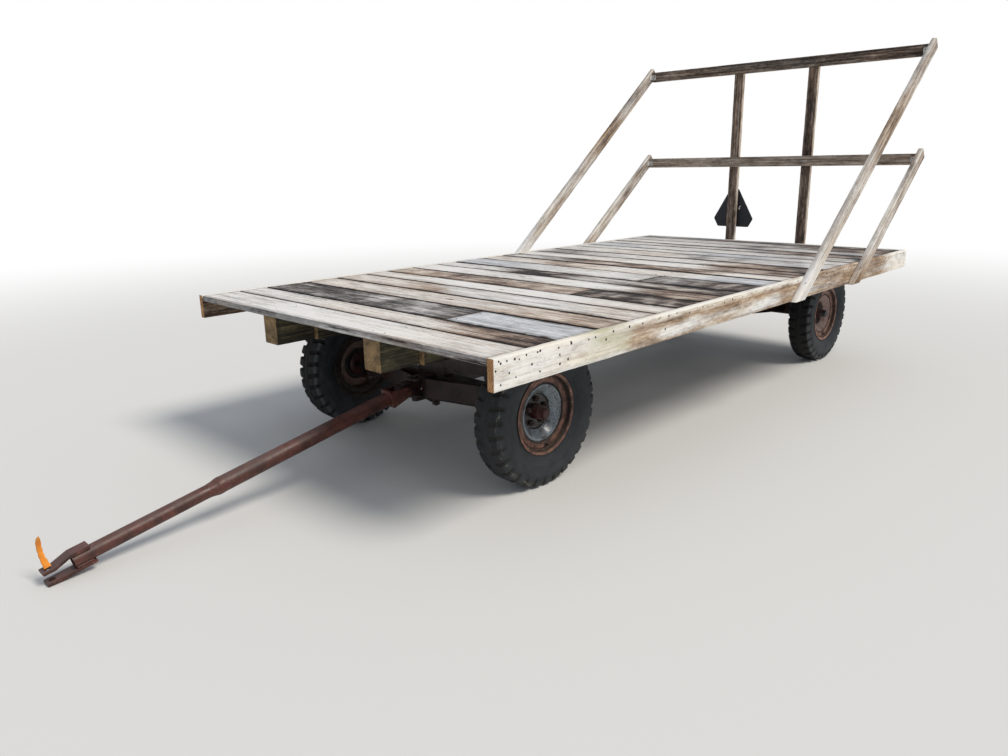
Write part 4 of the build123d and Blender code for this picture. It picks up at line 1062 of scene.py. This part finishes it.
dress(outward(plate), sign_paint, "wagon", "sign_plate", "rear_sign")
post_back = corners_of("rack_post_right")[1][1]
block = box_part((mid_x - SPACER_HALF, post_back, sign_low[2] + SPACER_FROM),
                 (mid_x + SPACER_HALF, sheet_front, sign_low[2] + SPACER_TO))
dress(joined("sign_spacer", [block], 1, False), nut_steel, "wagon", "sign_plate")

# %% [markdown]
# ## Running gear and tongue
# Axles, bolsters, steering and tongue were painted maroon; most of it has turned to brown rust, and the gear
# under the deck is darkened further with painted shade. The tongue is rubbed to a satin where hands and pins
# touch it.

# %% Gear
# The gear's paint is darker than its own colour: painted shade under the deck.
gear_paint_and_shade = painted("rusty maroon gear paint", "#33140f", "#1d0f0c", "#4e332a", 0.55, 0.45, 0.09, dusty=0.12)
tongue_paint = painted("rubbed maroon tongue paint", "#69392e", "#42241b", "#8a675c", 0.46, 0.4, 0.16,
                       dust="#8a7470", dusty=0.3)
for name, o in frame["nodes"].items():
    if o.hide_render:
        continue
    coating = tongue_paint if name.startswith(("tongue_", "hitch_")) else gear_paint_and_shade
    o.data.materials.clear()
    o.data.materials.append(coating)
    print(name, coating.name)

# %% [markdown]
# ## Welds
# Stick welds hold the tongue together: a bead of overlapping ripples along each joint, and a thick cone
# of weld where the rear pipe was cut at a slant over the thinner front pipe. A bead is a tube along a
# line; the cone is a section turned about the tongue, slid forward on one side.

# %% Welds
RIPPLE = 0.009                              # length of one ripple of a bead
front_lo, front_hi = corners_of("tongue_front_pipe")
rear_lo, rear_hi = corners_of("tongue_rear_pipe")
TONGUE = unit((front_lo + front_hi - rear_lo - rear_hi)[None])[0]
UPWARD = np.cross(TONGUE, (-1, 0, 0))
THIN, THICK = (front_hi[0] - front_lo[0]) / 2, (rear_hi[0] - rear_lo[0]) / 2
FRONT_LONG, REAR_LONG = ((hi[1] - lo[1] - 2 * radius * abs(TONGUE[2])) / abs(TONGUE[1])
                         for lo, hi, radius in ((front_lo, front_hi, THIN), (rear_lo, rear_hi, THICK)))
STEP = (front_lo + front_hi) / 2 - TONGUE * FRONT_LONG / 2


def on_tongue(s, x, up):
    """A point s metres ahead of the step between the pipes, x to the left and up from the centre line."""
    return STEP + sum(np.multiply.outer(v, way) for v, way in ((s, TONGUE), (x, (1.0, 0, 0)), (up, UPWARD)))


def bead(path, ref, radius, seed, closed=False):
    """A weld bead along path (n, 3), as (verts, quads): a tube whose radius is
    radius * (1 + 0.16 sin(2 pi s / RIPPLE) + 0.25 noise(s)), drawn in and closed at open ends."""
    along = unit(np.roll(path, -1, 0) - np.roll(path, 1, 0) if closed else np.gradient(path, axis=0))
    e1 = unit(np.cross(along, ref))
    e2 = np.cross(along, e1)
    wave = np.sin(2 * np.pi * run_of(path) / RIPPLE)
    size = radius * (1 + 0.16 * wave + 0.25 * noise(path * 60, seed, 1))
    quads = ring_faces(len(path), 8, closed)
    if not closed:
        size[[0, -1]] *= 0.3
        cap = np.array(((0, 1, 2, 3), (0, 3, 4, 7), (4, 5, 6, 7)))
        quads = np.concatenate((quads, cap, cap + (len(path) - 1) * 8))
    cos, sin = circle(8)
    ring = cos[:, None] * e1[:, None] + sin[:, None] * e2[:, None]
    return (path[:, None] + ring * size[:, None, None]).reshape(-1, 3), quads


def hoop(s, radius):
    """A circle round the tongue's centre line, with a point about every two millimetres."""
    cos, sin = circle(int(radius * 3140))
    return on_tongue(s, radius * cos, radius * sin)


STRAP_SIDE, STRAP_FACE = 0.021, 0.0285      # where a hitch strap's edge meets the pipe
seam = FRONT_LONG - np.linspace(0.074, 0.002, 36)
parts = [bead(hoop(-REAR_LONG - 0.001, THICK + 0.002), TONGUE, 0.006, 51, True)]
for k, (x, up) in enumerate(((1, 1), (-1, 1), (1, -1), (-1, -1))):
    parts.append(bead(on_tongue(seam, x * STRAP_SIDE, up * STRAP_FACE), UPWARD, 0.0065, 52 + k))
dress(outward(joined("tongue_welds", parts)), tongue_paint, "tongue", "rusty_steel")
# How far ahead of the step, which pipe's radius and how far outside it, both lengths in mm
CONE = np.array([(ahead / 1000, pipe + out / 1000) for ahead, pipe, out in (
    (-24, THICK, -2), (-24, THICK, 0.4), (-8, THICK, 1.6), (4, THICK, 1.2), (16, THICK, -1.8), (30, THIN, 3),
    (46, THIN, 1), (56, THIN, 0.3), (56, THIN, -2), (4, THIN, -2), (2, THICK, -2))])
SLIDE, SLIDE_TURN, LUMP = 0.012, 2.2, 0.0011
cos, sin = circle(64)
s, r = rounded(CONE, 2, 0.2, closed=True).T[..., None]
spot = np.stack(np.broadcast_arrays(s * 50, cos * 2, sin * 2), -1)
r = r + LUMP * noise(spot.reshape(-1, 3), 58, 2).reshape(spot.shape[:2])
s = s + SLIDE * (cos * np.cos(SLIDE_TURN) + sin * np.sin(SLIDE_TURN))
cone = mesh_object("pipe_step_weld", on_tongue(s, r * cos, r * sin).reshape(-1, 3),
                   [ring_faces(len(s), len(cos), True)])
dress(outward(cone), tongue_paint, "tongue", "rusty_steel")

# %% [markdown]
# ## Nails and screws
# Nails hold everything: two through each plank into each long timber, two through the side rail into each
# plank's end, and the many that were driven and pulled again near the left rail's front. Seen from a few
# steps away a nail is a dark, slightly domed spot.

# %% Nails
DOME = np.array((-0.9, -0.3, 0.25, 0.75, 1.2))      # the angles u of a head's rings
SIDES = 10


def heads(name, spots, normal, radius, rise, material, seed, slot="rusty_steel"):
    """Small domes at spots (n, 3): rings of radius * cos(u), rise * sin(u) along the normal, which is one
    vector or one to each spot."""
    spots = np.array(spots, float)
    normals = np.broadcast_to(np.array(normal, float), spots.shape)
    draw = np.random.default_rng(seed)
    cos, sin = circle(SIDES)
    e1 = unit(np.cross(normals, np.where(np.abs(normals[:, 2:]) > 0.9, (1.0, 0, 0), (0, 0, 1.0))))
    e2 = np.cross(normals, e1)
    size = (radius * draw.uniform(0.75, 1.2, len(spots)))[:, None, None, None]
    round_it = (cos[:, None] * e1[:, None] + sin[:, None] * e2[:, None])[:, None]
    u = DOME[:, None, None]
    domes = np.cos(u) * size * round_it + np.sin(u) * rise * normals[:, None, None] + spots[:, None, None]
    poles = spots[:, None] + normals[:, None] * np.array((-rise, rise))[:, None]
    last = (len(DOME) - 1) * SIDES
    total = last + SIDES
    verts = np.concatenate((domes.reshape(len(spots), total, 3), poles), 1)
    shift = np.arange(len(spots))[:, None, None] * (total + 2)
    tips = np.concatenate((fan(total, 0, SIDES), fan(total + 1, last, SIDES)[:, (0, 2, 1)]))
    quads = ring_faces(len(DOME), SIDES)[:, ::-1]
    faces = [(quads + shift).reshape(-1, 4), (tips + shift).reshape(-1, 3)]
    dress(mesh_object(name, verts.reshape(-1, 3), faces), material, "wagon", slot)


nail_rust = painted("rusted nail heads", "#2b2320", "#1d1512", "#4a403a", 0.7, 0.4, 0.01)
zinc = painted("dull galvanised steel", "#eeece6", "#c4bcae", "#f6f6f4", 0.5, 0.1, 0.02, dusty=0.1)
rows = (np.array(spans) @ ((0.8, 0.22), (0.2, 0.78))).ravel()       # two lines of nails to each plank
draw = np.random.default_rng(12)
TIMBER_X, STRAY = 0.453, 0.075              # the timbers' middle, and a second line beside the left one
top = [(x + draw.uniform(-0.03, 0.03), y + draw.uniform(-0.015, 0.015), deck_high[2] - 0.0022)
       for y in rows for x in (-TIMBER_X, TIMBER_X, TIMBER_X + STRAY)]
heads("deck_nails", top, (0, 0, 1), 0.0042, 0.0012, nail_rust, 3)
rail_x, side_z = corners_of("side_rail_left")[1][0], deck_high[2] - 0.021
SUNK = 0.0012                               # how far a nail's middle lies inside the rail's face
# Pulled and driven nails near the front of the left rail: y, z in mm
PULLED = np.array(((-1738, 870), (-1702, 874), (-1656, 873), (-1629, 867), (-1689, 821), (-1740, 782),
                   (-1767, 844), (-1650, 796), (-1552, 831), (-1502, 790), (-1371, 797), (-1516, 876),
                   (-1372, 838), (-1316, 808), (-1294, 875), (-1170, 870), (-1041, 848), (-543, 816),
                   (1300, 860), (1520, 800), (2520, 830), (2850, 860), (2950, 800), (3030, 870),
                   (3050, 790))) / 1000


def in_rail(side):
    """A nail through a side rail into the plank's end on each line of nails."""
    return [(side * (rail_x - SUNK), y + draw.uniform(-0.02, 0.02), side_z + draw.uniform(-0.008, 0.008))
            for y in rows]


pulled = [(rail_x - SUNK, *spot) for spot in PULLED]
heads("rail_nails_left", pulled + in_rail(1), (1, 0, 0), 0.0062, 0.0018, nail_rust, 4)
heads("rail_nails_right", in_rail(-1), (-1, 0, 0), 0.0056, 0.0018, nail_rust, 5)

# %% Rack fixings
brace_x, post_y = corners_of("brace_tall_left")[1][0], corners_of("rack_post_left")[1][1]
bolts = np.array([(side, y, z) for y, z in (
    (0.985, 0.785), (1.045, 0.865), (1.925, 0.785), (1.985, 0.865), (3.02, 2.40), (3.06, 2.44), (3.02, 1.585),
    (3.05, 1.64)) for side in (-1, 1)])
heads("brace_screws", bolts * (brace_x - 0.0022, 1, 1), bolts * (1, 0, 0), 0.006, 0.002, nail_rust, 6)
spots = [(x + dx, post_y - 0.001, z + dz) for x in (-0.345, 0.345) for z in (1.615, 2.430, 0.80)
         for dx, dz in ((-0.02, 0.02), (0.022, -0.018))]
heads("post_screws", spots, (0, 1, 0), 0.005, 0.0015, nail_rust, 7)
LEG, SHEET, BRACKET_HALF = 0.042, 0.0025, 0.021
rail_y = corners_of("rack_rail_top")[0][1]
parts, screws = [], []
for z in (2.427, 1.613):
    low, high = z - BRACKET_HALF, z + BRACKET_HALF
    parts += [box_part((rail_x - LEG, rail_y - SHEET, low), (rail_x, rail_y, high)),
              box_part((rail_x - SHEET, rail_y - LEG, low), (rail_x, rail_y - SHEET, high))]
    screws += [(rail_x - dx, rail_y - SHEET, z + dz) for dx, dz in ((0.028, 0.009), (0.014, -0.009))]
for side, word in ((1, "left"), (-1, "right")):
    plates = joined("angle_brackets_" + word, parts, side, False)
    bevel = plates.modifiers.new("worn corners", "BEVEL")
    bevel.width, bevel.segments = 0.0008, 2
    dress(plates, zinc, "wagon", "rusty_steel")
spots = [(x * side, y, z) for x, y, z in screws for side in (1, -1)]
heads("bracket_screws", spots, (0, -1, 0), 0.0045, 0.0015, nail_rust, 8)
spots = [(mid_x + dx, sheet_front - 0.003, sign_low[2] + dz) for dx, dz in ((0.060, 0.172), (0.066, 0.190))]
heads("sign_nuts", spots, (0, -1, 0), 0.009, 0.0035, zinc, 9, "sign_plate")

# %% [markdown]
# ## Hitch tag
# A strip of orange plastic is tied through the hitch pin hole so that the low strap is not tripped over.
# It is a ribbon swept along a line: at each point of the line the strip is a thin rounded rectangle.

# %% Tag
def ribbon(name, path, width, thick, steps=48):
    """A strip along a smoothed path, as wide as the given vector at its foot; its last sixth narrows to
    a torn point."""
    path, width = rounded(path, 4), np.array(width, float)
    run = run_of(path)
    at = np.linspace(0, run[-1], steps)
    line = np.stack([np.interp(at, run, axis) for axis in path.T], -1)
    along = unit(np.gradient(line, axis=0))
    wide = unit(width - along * (along @ width)[:, None]) * np.linalg.norm(width)
    out = unit(np.cross(along, wide))
    v = np.array((-1, -0.5, 0, 0.5, 1, 1, 0.5, 0, -0.5, -1)) / 2
    w = np.repeat((-0.5, 0.5), 5) * thick
    tail = np.linspace(0, 1, steps)
    wide *= (np.interp(tail, (0, 0.35, 0.82, 1), (1.2, 0.95, 0.85, 0.2)) + 0.06 * np.sin(tail * 37))[:, None]
    verts = line[:, None] + wide[:, None] * v[:, None] + out[:, None] * w[:, None]
    n = np.arange(4)
    cap = np.stack((n, n + 1, 8 - n, 9 - n), -1)
    faces = np.concatenate((ring_faces(steps, len(v))[:, ::-1], cap, cap[:, ::-1] + (steps - 1) * len(v)))
    return mesh_object(name, verts.reshape(-1, 3), [faces])


plastic, add = finish("faded orange plastic", 0.42)
shade = pattern(add, add("TexCoord", out="Object"), (0.02,) * 3, 4, 0.6)
coat(plastic, Base_Color=add("ValToRGB", shade, stops=((0.2, "#d9701a"), (0.7, "#f59a2e"))))
plastic.node_tree.nodes["Principled BSDF"].inputs["Subsurface Weight"].default_value = 0.1
TAG = np.array(((10, -3122, 78), (-8, -3124, 92), (-30, -3126, 108), (-44, -3127, 134), (-46, -3128, 162),
                (-34, -3128, 190), (-24, -3127, 208))) / 1000
dress(ribbon("hitch_tag", TAG, (0.013, 0.020, 0.0), 0.0012), plastic, "tongue", "rusty_steel")
